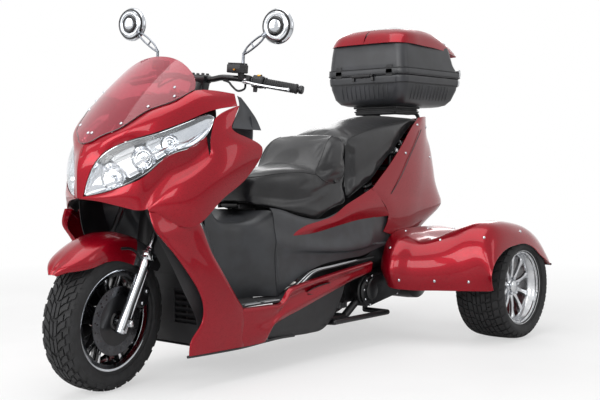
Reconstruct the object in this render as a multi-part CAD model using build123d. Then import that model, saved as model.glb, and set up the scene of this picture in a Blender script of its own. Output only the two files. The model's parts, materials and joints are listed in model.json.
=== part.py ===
"""Motor trike: a maxi scooter with one steered front wheel and two rear wheels under a wide fender body.

Row frame: +Z up, -Y forward, +X to the rider's left, millimetres. The origin is on the ground, at the
centre of the footprint. Every node is one named piece of the real machine. The steered pieces are drawn
straight ahead and then turned by STEER_AT_REST about the steering axis.
"""

from build123d import *
import math
import os

# ---------------------------------------------------------------- driving dimensions

WHEELBASE = 1767.0
FRONT_REACH = 246.0            # front axle to the foremost point of the tyre
REAR_REACH = 276.0             # rear axle to the rearmost point of the fenders

FRONT_TYRE_R = 243.0           # 130/60-13
FRONT_TYRE_W = 130.0
FRONT_SEAT_R = 165.1           # bead seat of a 13 inch rim
FRONT_RIM_W = 92.0
REAR_TYRE_R = 223.0            # 235/30-12
REAR_TYRE_W = 226.0
REAR_SEAT_R = 152.4            # bead seat of a 12 inch rim
REAR_RIM_W = 196.0
REAR_HALF_TRACK = 524.0        # centre plane to the middle of a rear tyre
LIP_RISE = 13.0                # rim flange above the bead seat
BEAD_GAP = 0.3
TYRE_WALL = 9.0
RIM_WALL = 5.0

RAKE = 27.0                    # steering axis, degrees from vertical
FORK_OFFSET = 35.0             # front axle ahead of the steering axis
STEER_AT_REST = 10.0           # the bars stand turned to the left
FORK_SPREAD = 100.0            # centre plane to a fork leg
LOWER_LEG_R = 22.0
STANCHION_R = 15.0
LOWER_LEG_TOP = 232.0          # along the fork, from the axle
YOKE_AT = 500.0
YOKE_T = 30.0
HEAD_TUBE_L = 150.0
HEAD_TUBE_R = 30.0
STEM_R = 17.0
BAR_Z = 1072.0
BAR_R = 11.0
GRIP_R = 17.0

GAP = 0.6                      # between neighbouring panels
SEAT_GAP = 0.3                 # a piece that rests on another
RUN_GAP = 0.3                  # radial, spindle in hub and stem in head tube
PANEL_T = 4.0
FENDER_T = 5.0
TUBE_R = 16.0                  # main frame tubes
BRACE_R = 13.0                 # cross tubes and posts

BELLY_Z = 108.0
FLOOR_Z = 260.0
FLOOR_T = 6.0
LEG_HALF = 270.0               # leg panels
COWL_HALF = 348.0              # widest point of the front cowl
TUNNEL_HALF = 105.0
FENDER_OVER = 15.0             # outer face of a rear tyre to the outer face of its fender
FENDER_HALF = REAR_HALF_TRACK + REAR_TYRE_W / 2 + FENDER_OVER

SEAT_FRONT_Z = 713.0
SEAT_REAR_Z = 958.0
SEAT_HALF = 178.0
RACK_Z = 990.0
BOX_Z = 1010.0
BOX_SEAM_Z = 1140.0
BOX_TOP_Z = 1372.0
BOX_HALF = 215.0
BOX_WALL = 4.0
BOX_FRONT = -303.0             # from the rear axle
BOX_BACK = 182.0

# ---------------------------------------------------------------- places worked out from them

FRONT_Y = (FRONT_REACH - WHEELBASE - REAR_REACH) / 2
REAR_Y = FRONT_Y + WHEELBASE
SIN_RAKE = math.sin(math.radians(RAKE))
COS_RAKE = math.cos(math.radians(RAKE))


def F(d):
    """Distance behind the front axle, as a row coordinate."""
    return FRONT_Y + d


def R(d):
    """Distance behind the rear axle, as a row coordinate."""
    return REAR_Y + d


FORK_UP = Vector(0, SIN_RAKE, COS_RAKE)
STEER_POINT = Vector(0, FRONT_Y + FORK_OFFSET * COS_RAKE, FRONT_TYRE_R - FORK_OFFSET * SIN_RAKE)
STEER_AXIS = Axis(STEER_POINT, FORK_UP)


def on_steer_axis(s):
    """Point at distance s up the steering axis, counted from beside the axle."""
    return STEER_POINT + FORK_UP * s


def on_fork(x, s):
    """Point at distance s up a fork leg."""
    return Vector(x, FRONT_Y, FRONT_TYRE_R) + FORK_UP * s


# ---------------------------------------------------------------- drawing helpers


def outline(points, radius=0.0):
    """Closed face of a polygon, its corners rounded by radius."""
    if radius:
        return make_face(FilletPolyline(*points, radius=radius, close=True))
    return make_face(Polyline(*points, close=True))


def side(points, x0, x1, radius=0.0):
    """Side-view outline of (y, z) points, drawn through from x0 to x1."""
    return extrude(Plane.YZ.offset(x0) * outline(points, radius), x1 - x0)


def front(points, y0, y1, radius=0.0):
    """Front-view outline of (x, z) points, drawn through from y0 to y1."""
    return extrude(Plane.XZ.offset(-y0) * outline(points, radius), -(y1 - y0))


def plan(points, z0, z1, radius=0.0):
    """Plan-view outline of (x, y) points, drawn through from z0 to z1."""
    return extrude(Plane.XY.offset(z0) * outline(points, radius), z1 - z0)


def block(x0, x1, y0, y1, z0, z1):
    return Pos((x0 + x1) / 2, (y0 + y1) / 2, (z0 + z1) / 2) * Box(x1 - x0, y1 - y0, z1 - z0)


def band(points, shift):
    """Polygon between an open line and its copy moved by shift, for a wall of that thickness."""
    moved = [(a + shift[0], b + shift[1]) for a, b in points]
    return list(points) + moved[::-1]


def both_ways(points):
    """A symmetric outline from its left half, whose (x, ...) points go from the centre out and back."""
    return list(points) + [(-x, v) for x, v in reversed(points) if x > 1e-6]


def rod(p, q, r):
    """Round bar from p to q."""
    p, q = Vector(*p), Vector(*q)
    return Plane(origin=(p + q) * 0.5, z_dir=q - p) * Cylinder(r, (q - p).length)


def pipe_run(points, r):
    """Round bar along straight runs, with a ball at each corner."""
    made = rod(points[0], points[1], r)
    for a, b in zip(points[1:], points[2:]):
        made += Pos(*a) * Sphere(r)
        made += rod(a, b, r)
    return made


def turned(points, centre):
    """Solid of revolution about an axis along X through centre; points are (x, radius)."""
    face = make_face(Polyline(*points, close=True))
    return Pos(*centre) * revolve(face, Axis.X, 360)


def mirror_x(shape):
    return mirror(shape, Plane.YZ)


def steer(shape):
    """Turns a steered piece from straight ahead to where it stands at rest."""
    return shape.rotate(STEER_AXIS, STEER_AT_REST)


NODES = {}


def node(name, shape):
    NODES[name] = shape


# ---------------------------------------------------------------- wheels


def tyre_profile(width, outer_r, seat_r, rim_w):
    """Closed (x, radius) outline of a tyre casing, open towards the rim."""
    h, rise = width / 2, outer_r - seat_r
    b = rim_w / 2 - RIM_WALL - BEAD_GAP
    lip = seat_r + LIP_RISE + 1.5
    outer = [(b, seat_r), (b, lip), (h * 0.95, lip + rise * 0.1), (h, seat_r + rise * 0.5),
             (h * 0.97, seat_r + rise * 0.72), (h * 0.84, seat_r + rise * 0.9),
             (h * 0.5, outer_r - rise * 0.015), (0, outer_r)]
    w = TYRE_WALL
    inner = [(0, outer_r - w), (h * 0.5, outer_r - rise * 0.015 - w), (h * 0.8, seat_r + rise * 0.9 - w),
             (h - w, seat_r + rise * 0.62), (h - w, lip + rise * 0.1 + w * 0.6), (b - w, lip + w * 0.6),
             (b - w, seat_r)]
    # one closed C: out along the left half, back along the right half
    left_out = [(-x, r) for x, r in outer]
    left_in = [(-x, r) for x, r in inner]
    return outer[:-1] + [outer[-1]] + left_out[-2::-1] + left_in[::-1] + inner[1:]


def rim_profile(rim_w, seat_r):
    """Closed (x, radius) outline of the rim barrel with its two flanges and drop centre."""
    w, t, s = rim_w / 2, RIM_WALL, seat_r - BEAD_GAP
    top = [(-w, s + LIP_RISE), (-w + t, s + LIP_RISE), (-w + t, s), (-w + 24, s), (-w + 34, s - 12),
           (w - 34, s - 12), (w - 24, s), (w - t, s), (w - t, s + LIP_RISE), (w, s + LIP_RISE)]
    bottom = [(w, s + LIP_RISE - t), (w - t, s - t), (w - 24, s - t), (w - 34, s - 12 - t),
              (-w + 34, s - 12 - t), (-w + 24, s - t), (-w + t, s - t), (-w, s + LIP_RISE - t)]
    return top + bottom


def spoked_rim(rim_w, seat_r, hub_r, hub_w, bore_r, spokes, spoke_w, face_x, spoke_t, centre):
    """Rim barrel, hub and spokes in one casting, bored for its spindle. face_x is mid-spoke."""
    made = turned(rim_profile(rim_w, seat_r), (0, 0, 0))
    hub = Rot(0, 90, 0) * (Cylinder(hub_r, hub_w) - Cylinder(bore_r, hub_w + 2))
    reach = seat_r - BEAD_GAP - 12 - RIM_WALL / 2
    inner_r = (hub_r + bore_r) / 2
    arms = None
    for k in range(spokes):
        arm = Pos(0, 0, (reach + inner_r) / 2) * Box(spoke_t, spoke_w, reach - inner_r)
        arm = Rot(360 / spokes * k, 0, 0) * arm
        arms = arm if arms is None else arms + arm
    return Pos(*centre) * (made + hub + Pos(face_x, 0, 0) * arms)


FRONT_C = (0, FRONT_Y, FRONT_TYRE_R)
AXLE_R = 9.0
FRONT_HUB_HALF = 58.0
DISC_R = 118.0
DISC_T = 4.0
DISC_X = FRONT_HUB_HALF - 6

front_tyre = turned(tyre_profile(FRONT_TYRE_W, FRONT_TYRE_R, FRONT_SEAT_R, FRONT_RIM_W), FRONT_C)
front_rim = spoked_rim(FRONT_RIM_W, FRONT_SEAT_R, 34, 2 * FRONT_HUB_HALF, AXLE_R + RUN_GAP, 5, 40, 0, 26,
                       FRONT_C)
disc = Rot(0, 90, 0) * (Cylinder(DISC_R, DISC_T) - Cylinder(34 + SEAT_GAP, DISC_T + 2))
disc -= Rot(0, 90, 0) * sum((Pos(82 * math.cos(a), 82 * math.sin(a), 0) * Cylinder(9, DISC_T + 2)
                             for a in (2 * math.pi * k / 10 for k in range(10))), Part())
front_discs = Pos(DISC_X, *FRONT_C[1:]) * disc + Pos(-DISC_X, *FRONT_C[1:]) * disc
node("front_tyre", steer(front_tyre))
node("front_rim", steer(front_rim))
node("front_brake_discs", steer(front_discs))

SPINDLE_R = 17.0
REAR_HUB_R = 42.0
REAR_HUB_W = 120.0
REAR_FACE_X = 34.0             # spokes stand this far outside the middle of the rim
REAR_HUB_X = 22.0

for name, sign in (("left", 1), ("right", -1)):
    centre = (sign * REAR_HALF_TRACK, REAR_Y, REAR_TYRE_R)
    tyre = turned(tyre_profile(REAR_TYRE_W, REAR_TYRE_R, REAR_SEAT_R, REAR_RIM_W), centre)
    rim = turned(rim_profile(REAR_RIM_W, REAR_SEAT_R), (0, 0, 0))
    hub = Pos(REAR_HUB_X - REAR_HUB_W / 4, 0, 0) * Rot(0, 90, 0) * Cylinder(REAR_HUB_R, REAR_HUB_W)
    bore = Cylinder(SPINDLE_R + RUN_GAP, REAR_HUB_W + 2)
    hub -= Pos(REAR_HUB_X - REAR_HUB_W / 4, 0, 0) * Rot(0, 90, 0) * bore
    reach = REAR_SEAT_R - BEAD_GAP - 12 - RIM_WALL / 2
    for k in range(10):
        arm = Pos(REAR_FACE_X, 0, (reach + 30) / 2) * Box(16, 22, reach - 30)
        hub += Rot(36 * k, 0, 0) * arm
    wheel = rim + hub
    if sign < 0:
        wheel = mirror_x(wheel)
    node(name + "_rear_tyre", tyre)
    node(name + "_rear_rim", Pos(*centre) * wheel)

# ---------------------------------------------------------------- steered front end

LEG_BOTTOM = -26.0
front_axle = Pos(*FRONT_C) * Rot(0, 90, 0) * Cylinder(AXLE_R, 2 * (FORK_SPREAD + 10))
fork = front_axle
for sx in (-FORK_SPREAD, FORK_SPREAD):
    fork += rod(on_fork(sx, LEG_BOTTOM), on_fork(sx, LOWER_LEG_TOP), LOWER_LEG_R)
    fork += rod(on_fork(sx, LOWER_LEG_TOP - 5), on_fork(sx, LOWER_LEG_TOP + 14), LOWER_LEG_R + 1.5)
    fork += rod(on_fork(sx, LOWER_LEG_TOP), on_fork(sx, YOKE_AT + YOKE_T), STANCHION_R)
node("fork_legs", steer(fork))

AXIS_BEHIND = FORK_OFFSET       # the stem stands this far behind the legs
yoke_plane = Plane(origin=on_fork(0, YOKE_AT + YOKE_T / 2), x_dir=(1, 0, 0), z_dir=FORK_UP)
yoke_shape = extrude(outline([(-FORK_SPREAD - 26, -24), (FORK_SPREAD + 26, -24), (FORK_SPREAD + 26, 22),
                              (45, AXIS_BEHIND + 32), (-45, AXIS_BEHIND + 32),
                              (-FORK_SPREAD - 26, 22)], 10), YOKE_T / 2, both=True)
for sx in (-FORK_SPREAD, FORK_SPREAD):
    yoke_shape -= Pos(sx, 0, 0) * Cylinder(STANCHION_R + SEAT_GAP, YOKE_T + 2)
stem_top = on_steer_axis((BAR_Z - STEER_POINT.Z) / COS_RAKE - 24)
fork_yoke = yoke_plane * yoke_shape + rod(on_steer_axis(YOKE_AT + YOKE_T / 2), stem_top, STEM_R)
fork_yoke += rod(on_steer_axis((BAR_Z - STEER_POINT.Z) / COS_RAKE - 60), stem_top, STEM_R + 9)
node("fork_yoke", steer(fork_yoke))

bar_y = STEER_POINT.Y + (BAR_Z - STEER_POINT.Z) * SIN_RAKE / COS_RAKE
BAR_POINTS = [(0, bar_y, BAR_Z), (90, bar_y - 2, BAR_Z + 8), (200, bar_y + 18, BAR_Z + 4),
              (384, bar_y + 80, BAR_Z - 38)]


def bar_at(x, lift=0.0, ahead=0.0):
    """Point on the outer straight of the left bar at distance x from the centre."""
    a, b = Vector(*BAR_POINTS[2]), Vector(*BAR_POINTS[3])
    p = a + (b - a) * ((x - a.X) / (b.X - a.X))
    return Vector(p.X, p.Y - ahead, p.Z + lift)


left_bar = pipe_run(BAR_POINTS, BAR_R)
handlebar = left_bar + mirror_x(left_bar) + Pos(0, bar_y, BAR_Z - 6) * Box(64, 44, 42)
handlebar -= rod(on_steer_axis(600), stem_top, STEM_R + 9 + SEAT_GAP)
handlebar -= block(-40, 40, bar_y - 200, bar_y + 200, BAR_Z - 400, stem_top.Z - 40)
node("handlebar", steer(handlebar))

GRIP_IN, GRIP_OUT = 262.0, 378.0
grip = rod(bar_at(GRIP_IN), bar_at(GRIP_OUT), GRIP_R)
grip -= rod(bar_at(GRIP_IN - 20), bar_at(GRIP_OUT + 20), BAR_R + SEAT_GAP)
node("handlebar_grips", steer(grip + mirror_x(grip)))

cube = rod(bar_at(216), bar_at(GRIP_IN - 2), 23)
reservoir = block(168, 212, bar_y - 34, bar_y + 8, BAR_Z + 24, BAR_Z + 52)
perch = rod((190, bar_y + 16, BAR_Z + 5), (212, bar_y + 22, BAR_Z + 2), 20)
left_control = cube + perch + reservoir
left_control += rod((190, bar_y - 10, BAR_Z + 4), (190, bar_y - 14, BAR_Z + 30), 13)
left_control -= rod(bar_at(150), bar_at(320), BAR_R + SEAT_GAP)
left_control -= rod(BAR_POINTS[1], BAR_POINTS[2], BAR_R + SEAT_GAP)
lever = pipe_run([bar_at(196, -4, 30), bar_at(230, -6, 52), bar_at(372, -8, 60)], 5)
lever += rod(bar_at(192, -4, 14), bar_at(200, -4, 34), 11)
left_control += lever
left_control -= rod(bar_at(150), bar_at(420), BAR_R + SEAT_GAP)
node("handlebar_controls", steer(left_control + mirror_x(left_control)))

MIRROR_C = (333, bar_y - 2, 1250)
MIRROR_R = 63.0
mirror_head = Cylinder(MIRROR_R, 14) + Pos(0, 0, 14) * Cone(MIRROR_R, 36, 16)
mirror_head = Pos(*MIRROR_C) * Rot(90, 0, 0) * mirror_head
mirror_stem = pipe_run([(196, bar_y - 12, BAR_Z + 52 + SEAT_GAP), (196, bar_y - 12, BAR_Z + 96),
                        (262, bar_y - 22, 1202), (318, bar_y - 22, 1242)], 5.5)
left_mirror = mirror_head + mirror_stem
node("mirrors", steer(left_mirror + mirror_x(left_mirror)))

FENDER_IN_R = FRONT_TYRE_R + 22
FENDER_HALF_W = 76.0


def fender_sector(r_out, r_in, half):
    """Ring about the front axle between two radii, cut to the arc that the fender covers."""
    ring = Rot(0, 90, 0) * (Cylinder(r_out, 2 * half) - Cylinder(r_in, 2 * half + 2))
    keep = side([(0, 60), (-330, 152), (-330, 400), (190, 400), (215, 160)], -half - 1, half + 1)
    return ring & keep


arch = fender_sector(FENDER_IN_R + PANEL_T, FENDER_IN_R, FENDER_HALF_W)
skirt = fender_sector(FENDER_IN_R + PANEL_T, 196, FENDER_HALF_W)
skirt &= block(FENDER_HALF_W - PANEL_T, FENDER_HALF_W, -500, 500, 150, 500)
front_fender = arch + skirt + mirror_x(skirt)
front_fender = Pos(*FRONT_C) * front_fender
lug = rod(on_fork(FENDER_HALF_W - 2, LOWER_LEG_TOP - 30), on_fork(FORK_SPREAD, LOWER_LEG_TOP - 30), 9)
lug -= rod(on_fork(FORK_SPREAD, 0), on_fork(FORK_SPREAD, YOKE_AT), LOWER_LEG_R + SEAT_GAP)
front_fender += lug + mirror_x(lug)
node("front_fender", steer(front_fender))

caliper_at = on_fork(DISC_X + 16, 78) + Vector(0, 62, 4)
caliper = Pos(*caliper_at) * Rot(-RAKE, 0, 0) * Box(36, 50, 80)
caliper &= Pos(*FRONT_C) * Rot(0, 90, 0) * Cylinder(FRONT_SEAT_R - 26, 400)
lug = rod(on_fork(FORK_SPREAD, 88) + Vector(0, 10, 0), (FORK_SPREAD, caliper_at.Y, caliper_at.Z), 12)
caliper += lug + rod((FORK_SPREAD, caliper_at.Y, caliper_at.Z), caliper_at, 12)
caliper -= rod(on_fork(FORK_SPREAD, LEG_BOTTOM), on_fork(FORK_SPREAD, LOWER_LEG_TOP),
               LOWER_LEG_R + SEAT_GAP)
caliper -= Pos(DISC_X, *FRONT_C[1:]) * Rot(0, 90, 0) * Cylinder(DISC_R + 3, DISC_T + 5)
node("brake_calipers", steer(caliper + mirror_x(caliper)))

# ---------------------------------------------------------------- main frame

HEAD_LOW = YOKE_AT + YOKE_T + 6
head_tube = rod(on_steer_axis(HEAD_LOW), on_steer_axis(HEAD_LOW + HEAD_TUBE_L), HEAD_TUBE_R)
RAIL_X = 150.0
RAIL_Z = BELLY_Z + PANEL_T + SEAT_GAP + TUBE_R
NECK_TOP = HEAD_LOW + 60
NECK_BEND = (0, F(372), 600)
NECK_R = 24.0
SEAT_RAIL = [(RAIL_X, R(-1060), 430), (RAIL_X, R(-700), 470), (RAIL_X, R(-380), 600), (118, R(-90), 880)]
lower_rail = [(RAIL_X, F(350), RAIL_Z), (RAIL_X, R(-640), RAIL_Z), (RAIL_X, R(-560), 180),
              (RAIL_X, R(-300), 330), SEAT_RAIL[2]]
half_frame = pipe_run(lower_rail, TUBE_R) + pipe_run(SEAT_RAIL, TUBE_R)
half_frame += Pos(*SEAT_RAIL[0]) * Sphere(TUBE_R) + Pos(*SEAT_RAIL[3]) * Sphere(TUBE_R)
half_frame += Pos(*lower_rail[0]) * Sphere(TUBE_R) + rod((RAIL_X, R(-1060), RAIL_Z), SEAT_RAIL[0], BRACE_R)
neck_line = [on_steer_axis(NECK_TOP), NECK_BEND, (0, F(350), RAIL_Z)]
neck = pipe_run(neck_line, NECK_R)
main_frame = half_frame + mirror_x(half_frame)
for y, z, half in ((F(350), RAIL_Z, RAIL_X), (R(-1060), RAIL_Z, RAIL_X), (R(-640), RAIL_Z, RAIL_X),
                   (R(-1060), SEAT_RAIL[0][2], RAIL_X),
                   (SEAT_RAIL[3][1], SEAT_RAIL[3][2], SEAT_RAIL[3][0])):
    main_frame += rod((-half, y, z), (half, y, z), BRACE_R)
main_frame += neck + head_tube
main_frame -= rod(on_steer_axis(HEAD_LOW - 5), on_steer_axis(HEAD_LOW + HEAD_TUBE_L + 40), STEM_R + RUN_GAP)

# ---------------------------------------------------------------- front cowl

COWL_PLAN = [(0, -103), (60, -92), (150, -40), (235, 48), (300, 165), (335, 280), (COWL_HALF, 380),
             (338, 470)]
COWL_FRONT = [(248, 590), (300, 606), (338, 700), (COWL_HALF, 800), (343, 864), (300, 985), (225, 1022)]
COWL_SIDE = [(-106, 640), (-102, 760), (-68, 838), (238, 1018), (352, 988), (438, 866), (406, 758),
             (354, 714), (232, 658), (172, 560), (110, 588), (-2, 606), (-60, 634)]
# boundary between the nose and the flanks, from the chin up to the shoulder
CREASE = [(-20, 560), (-22, 636), (80, 690), (222, 780), (300, 890), (352, 1040)]
HEADLIGHT = [(-104, 672), (-62, 742), (-17, 795), (73, 850), (170, 895), (284, 938), (276, 906), (200, 858),
             (100, 798), (27, 742), (-40, 692)]


def cowl_volume(inset):
    """Outer shape of the front cowl, or with an inset the space inside its walls, open below and behind."""
    xy = [(max(x - inset, 0), F(y) + inset) for x, y in COWL_PLAN]
    xy = both_ways([(x, y) for x, y in xy] + [(xy[-1][0], F(560))])
    xz = [(x - inset, z - (inset if z > 900 else 0)) for x, z in COWL_FRONT]
    xz = both_ways(xz)
    yz = [(F(y), z) for y, z in COWL_SIDE]
    if inset:
        yz = [(F(-106) + inset, 500), (F(-102) + inset, 760), (F(-68) + inset, 838 - inset),
              (F(238), 1018 - inset * 1.2), (F(352), 988 - inset), (F(600), 988 - inset), (F(600), 500)]
    body = plan(xy, 500, 1100) & front(xz, F(-200), F(620)) & side(yz, -400, 400)
    return body


cowl_shell = cowl_volume(0) - cowl_volume(PANEL_T)
dash_opening = plan([(-150, F(150)), (150, F(150)), (205, F(300)), (205, F(470)), (-205, F(470)),
                     (-205, F(300))], 900, 1100)
cowl_shell -= dash_opening
flank_side = [(F(y), z) for y, z in CREASE] + [(F(700), 1040), (F(700), 500), (F(-20), 500)]
flank_zone = side(flank_side, 40, 420)
nose_cut = side([(y - GAP, z) for y, z in flank_side], 40, 420)
light_face = outline([(F(y), z) for y, z in HEADLIGHT], 6)
light_zone = extrude(Plane.YZ.offset(24) * offset(light_face, GAP), 400)
flank = cowl_shell & flank_zone
nose = cowl_shell - nose_cut - mirror_x(nose_cut) - light_zone - mirror_x(light_zone)
LENS_DEPTH = 34.0
lens_zone = extrude(Plane.YZ.offset(24 + GAP) * light_face, 400)
headlight = (cowl_volume(1.0) - cowl_volume(LENS_DEPTH)) & lens_zone
node("nose_cowl", nose)
node("left_front_cowl", flank)
node("right_front_cowl", mirror_x(flank))
node("headlights", headlight + mirror_x(headlight))

# ---------------------------------------------------------------- windshield and instruments

SHIELD_FOOT = Vector(0, F(-68), 838)
SHIELD_SLOPE = 43.0
SHIELD_R = 417.0
SHIELD_T = 3.0
SHIELD_OUTLINE = [(0, -6), (60, 74), (150, 208), (238, 348), (222, 392), (150, 436), (60, 452), (0, 455)]


def shield():
    """Curved clear screen: a part of a tube that lies along the slope, trimmed to its outline."""
    sheet = Pos(0, -SHIELD_R, 0) * (Cylinder(SHIELD_R, 1200) - Cylinder(SHIELD_R - SHIELD_T, 1202))
    trim = extrude(Plane.XZ.offset(-300) * outline(both_ways(SHIELD_OUTLINE)), 600)
    sheet = sheet & trim & Pos(0, 200, 0) * Box(900, 900, 1400)
    slope = math.radians(SHIELD_SLOPE)
    frame = Plane(origin=SHIELD_FOOT, x_dir=(-1, 0, 0), z_dir=(0, math.cos(slope), math.sin(slope)))
    return frame * sheet


windshield = shield()
windshield -= Pos(0, 0, GAP) * cowl_volume(0)
windshield = windshield.solids().sort_by(SortBy.VOLUME)[-1]
node("windshield", windshield)

DASH = [(F(151), 905), (F(151), 958), (F(238), 1008), (F(326), 990), (F(340), 972), (F(340), 905)]
DASH_HOLLOW = [(F(157), 900), (F(157), 958), (F(238), 1006), (F(322), 990), (F(334), 973), (F(334), 900)]
DASH_PLAN = [(149.4, F(140)), (204.4, F(300)), (204.4, F(380)), (-204.4, F(380)), (-204.4, F(300)),
             (-149.4, F(140))]
dash = side(DASH, -300, 300) - side(DASH_HOLLOW, -143, 143)
dash &= plan(DASH_PLAN, 850, 1100)
node("instrument_panel", dash)

# ---------------------------------------------------------------- leg shield, wheel well and tunnel

LINER_Y = F(286)
BULKHEAD_Y = F(350)
WING_FOOT_Y = F(398)
FLOOR_FRONT = WING_FOOT_Y + PANEL_T + GAP
WING_IN = 139.0
shield_line = [(F(346), 720), (F(184), 604), (F(262), 429), (WING_FOOT_Y, FLOOR_Z - FLOOR_T)]
wing = side(band(shield_line, (PANEL_T, 1.5)), WING_IN - PANEL_T, LEG_HALF - 23 - SEAT_GAP)
wing -= Pos(0, 0, -GAP) * cowl_volume(0)
cheek = side([(F(346), 718), (F(184) + 2, 604), (F(262), 431), (BULKHEAD_Y, 322), (BULKHEAD_Y, 600)],
             WING_IN - PANEL_T, WING_IN)
centre_line = [(F(346), 720), (BULKHEAD_Y, 600), (BULKHEAD_Y, FLOOR_Z + SEAT_GAP)]
centre = side(band(centre_line, (PANEL_T, 0)), -WING_IN, WING_IN)
upper = side(band([(F(346), 716), (F(394), 766), (F(424), 864), (F(420), 926)], (PANEL_T, 0)), -340, 340)
upper &= cowl_volume(PANEL_T + GAP)
inner_leg_shield = wing + mirror_x(wing) + cheek + mirror_x(cheek) + centre + upper
inner_leg_shield -= pipe_run(neck_line, NECK_R + SEAT_GAP)
node("inner_leg_shield", inner_leg_shield)

liner = block(-LEG_HALF + 23 + SEAT_GAP, LEG_HALF - 23 - SEAT_GAP, LINER_Y, LINER_Y + PANEL_T, BELLY_Z + 8,
              372)
liner += side(band([(LINER_Y, 368), (LINER_Y + 4, 500), (F(314), 606)], (PANEL_T, 0)), -130, 130)
for k in range(5):
    liner -= block(40, 190, LINER_Y - 1, LINER_Y + PANEL_T + 1, 200 + 26 * k, 211 + 26 * k)
    liner -= block(-190, -40, LINER_Y - 1, LINER_Y + PANEL_T + 1, 200 + 26 * k, 211 + 26 * k)
liner -= rod((0, F(350), RAIL_Z), (RAIL_X + 200, F(350), RAIL_Z), TUBE_R + SEAT_GAP)
node("wheel_well", liner)

TUNNEL_FRONT = BULKHEAD_Y + PANEL_T + SEAT_GAP
TUNNEL_BACK = R(-1098)
tunnel_top = [(TUNNEL_FRONT, 716), (F(372), 700), (F(392), 667), (F(452), 566), (F(590), 545),
              (TUNNEL_BACK, 572)]
tunnel_out = side([(TUNNEL_FRONT, FLOOR_Z + SEAT_GAP)] + tunnel_top + [(TUNNEL_BACK, FLOOR_Z + SEAT_GAP)],
                  -TUNNEL_HALF, TUNNEL_HALF)
tunnel = tunnel_out - side([(TUNNEL_FRONT - 1, 200)] + [(y, z - PANEL_T) for y, z in tunnel_top]
                           + [(TUNNEL_BACK + 1, 200)], -TUNNEL_HALF + PANEL_T, TUNNEL_HALF - PANEL_T)
node("centre_tunnel", tunnel)

# ---------------------------------------------------------------- leg panels, floor and sills


def shrink(points, wall):
    """Polygon with every side moved inwards by wall."""
    n = len(points)
    area = sum(points[k - 1][0] * points[k][1] - points[k][0] * points[k - 1][1] for k in range(n))
    turn = math.copysign(1, area)
    lines = []
    for k in range(n):
        (x0, y0), (x1, y1) = points[k - 1], points[k]
        length = math.hypot(x1 - x0, y1 - y0)
        nx, ny = -(y1 - y0) / length * turn, (x1 - x0) / length * turn
        lines.append((x0 + nx * wall, y0 + ny * wall, x1 - x0, y1 - y0))
    moved = []
    for k in range(n):
        ax, ay, au, av = lines[k]
        bx, by, bu, bv = lines[(k + 1) % n]
        t = ((bx - ax) * bv - (by - ay) * bu) / (au * bv - av * bu)
        moved.append((ax + au * t, ay + av * t))
    return moved


def tray(points, x_out, depth, wall=PANEL_T):
    """Panel on the left side with a turned-in edge: an outline in side view, hollow towards the centre."""
    return side(points, x_out - depth, x_out) - side(shrink(points, wall), x_out - depth - 1, x_out - wall)


LEG_PANEL = [(-24, 592), (30, 517), (115, 407), (177, 323), (204, 266), (199, 227), (146, 174), (148, 122),
             (398, 122), (398, 252), (262, 421), (182, 598)]
leg_panel = tray([(F(y), z) for y, z in LEG_PANEL], LEG_HALF, 23) - Pos(0, 0, -GAP) * cowl_volume(0)
node("leg_panels", leg_panel + mirror_x(leg_panel))

SILL = [(400, FLOOR_Z - FLOOR_T - GAP), (650, 250), (810, 332), (986, 338), (1150, 350), (1150, 318),
        (1000, 288), (880, 262), (925, 152), (900, 122), (400, 122)]
sill = tray([(F(y), z) for y, z in SILL], LEG_HALF + 3, 23)
node("sills", sill + mirror_x(sill))

FLOOR_REAR = R(-540)
floor_line = [(FLOOR_FRONT, FLOOR_Z), (F(650), FLOOR_Z), (F(815), 345), (FLOOR_REAR, 372)]
floor = side(band(floor_line, (0, -FLOOR_T)), 0, 300)
floor &= plan([(TUNNEL_HALF + GAP, FLOOR_FRONT), (262, FLOOR_FRONT), (262, FLOOR_REAR + 10),
               (216, FLOOR_REAR + 10), (216, F(690)), (TUNNEL_HALF + GAP, F(660))], 200, 420)
node("footboards", floor + mirror_x(floor))

BELLY_HALF = LEG_HALF - 23 - SEAT_GAP
belly_line = [(-BELLY_HALF, BELLY_Z + 12), (-190, BELLY_Z), (190, BELLY_Z), (BELLY_HALF, BELLY_Z + 12)]
belly = front(band(belly_line, (0, PANEL_T)), LINER_Y + 4 + PANEL_T + SEAT_GAP, F(900))
node("belly_pan", belly)

# ---------------------------------------------------------------- engine, axle, shocks, exhaust

ENGINE_HALF = RAIL_X - TUBE_R - 2
engine = block(-ENGINE_HALF, ENGINE_HALF, R(-610), R(-200), 170, 418)
engine += Pos(162, R(-506), 225) * Rot(0, 90, 0) * Cylinder(68, 80)
engine += Pos(162, R(-330), 250) * Rot(0, 90, 0) * Cylinder(62, 80)
engine += block(122, 202, R(-506), R(-330), 186, 290)
rails = pipe_run(lower_rail, TUBE_R + SEAT_GAP)
engine -= rails + mirror_x(rails)
node("engine_block", engine)

AXLE_TUBE_R = 36.0
AXLE_HALF = REAR_HALF_TRACK + REAR_HUB_X - REAR_HUB_W * 0.75 - 8
rear_axle = Pos(0, REAR_Y, REAR_TYRE_R) * Rot(0, 90, 0) * Cylinder(AXLE_TUBE_R, 2 * AXLE_HALF)
rear_axle += Pos(0, REAR_Y, REAR_TYRE_R) * Rot(0, 90, 0) * Cylinder(92, 170)
rear_axle += Pos(0, REAR_Y, REAR_TYRE_R) * Rot(0, 90, 0) * Cylinder(SPINDLE_R, 2 * (REAR_HALF_TRACK + 56))
rear_axle += block(-60, 60, R(-200) + SEAT_GAP, REAR_Y, 190, 262)
node("rear_axle", rear_axle)

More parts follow.
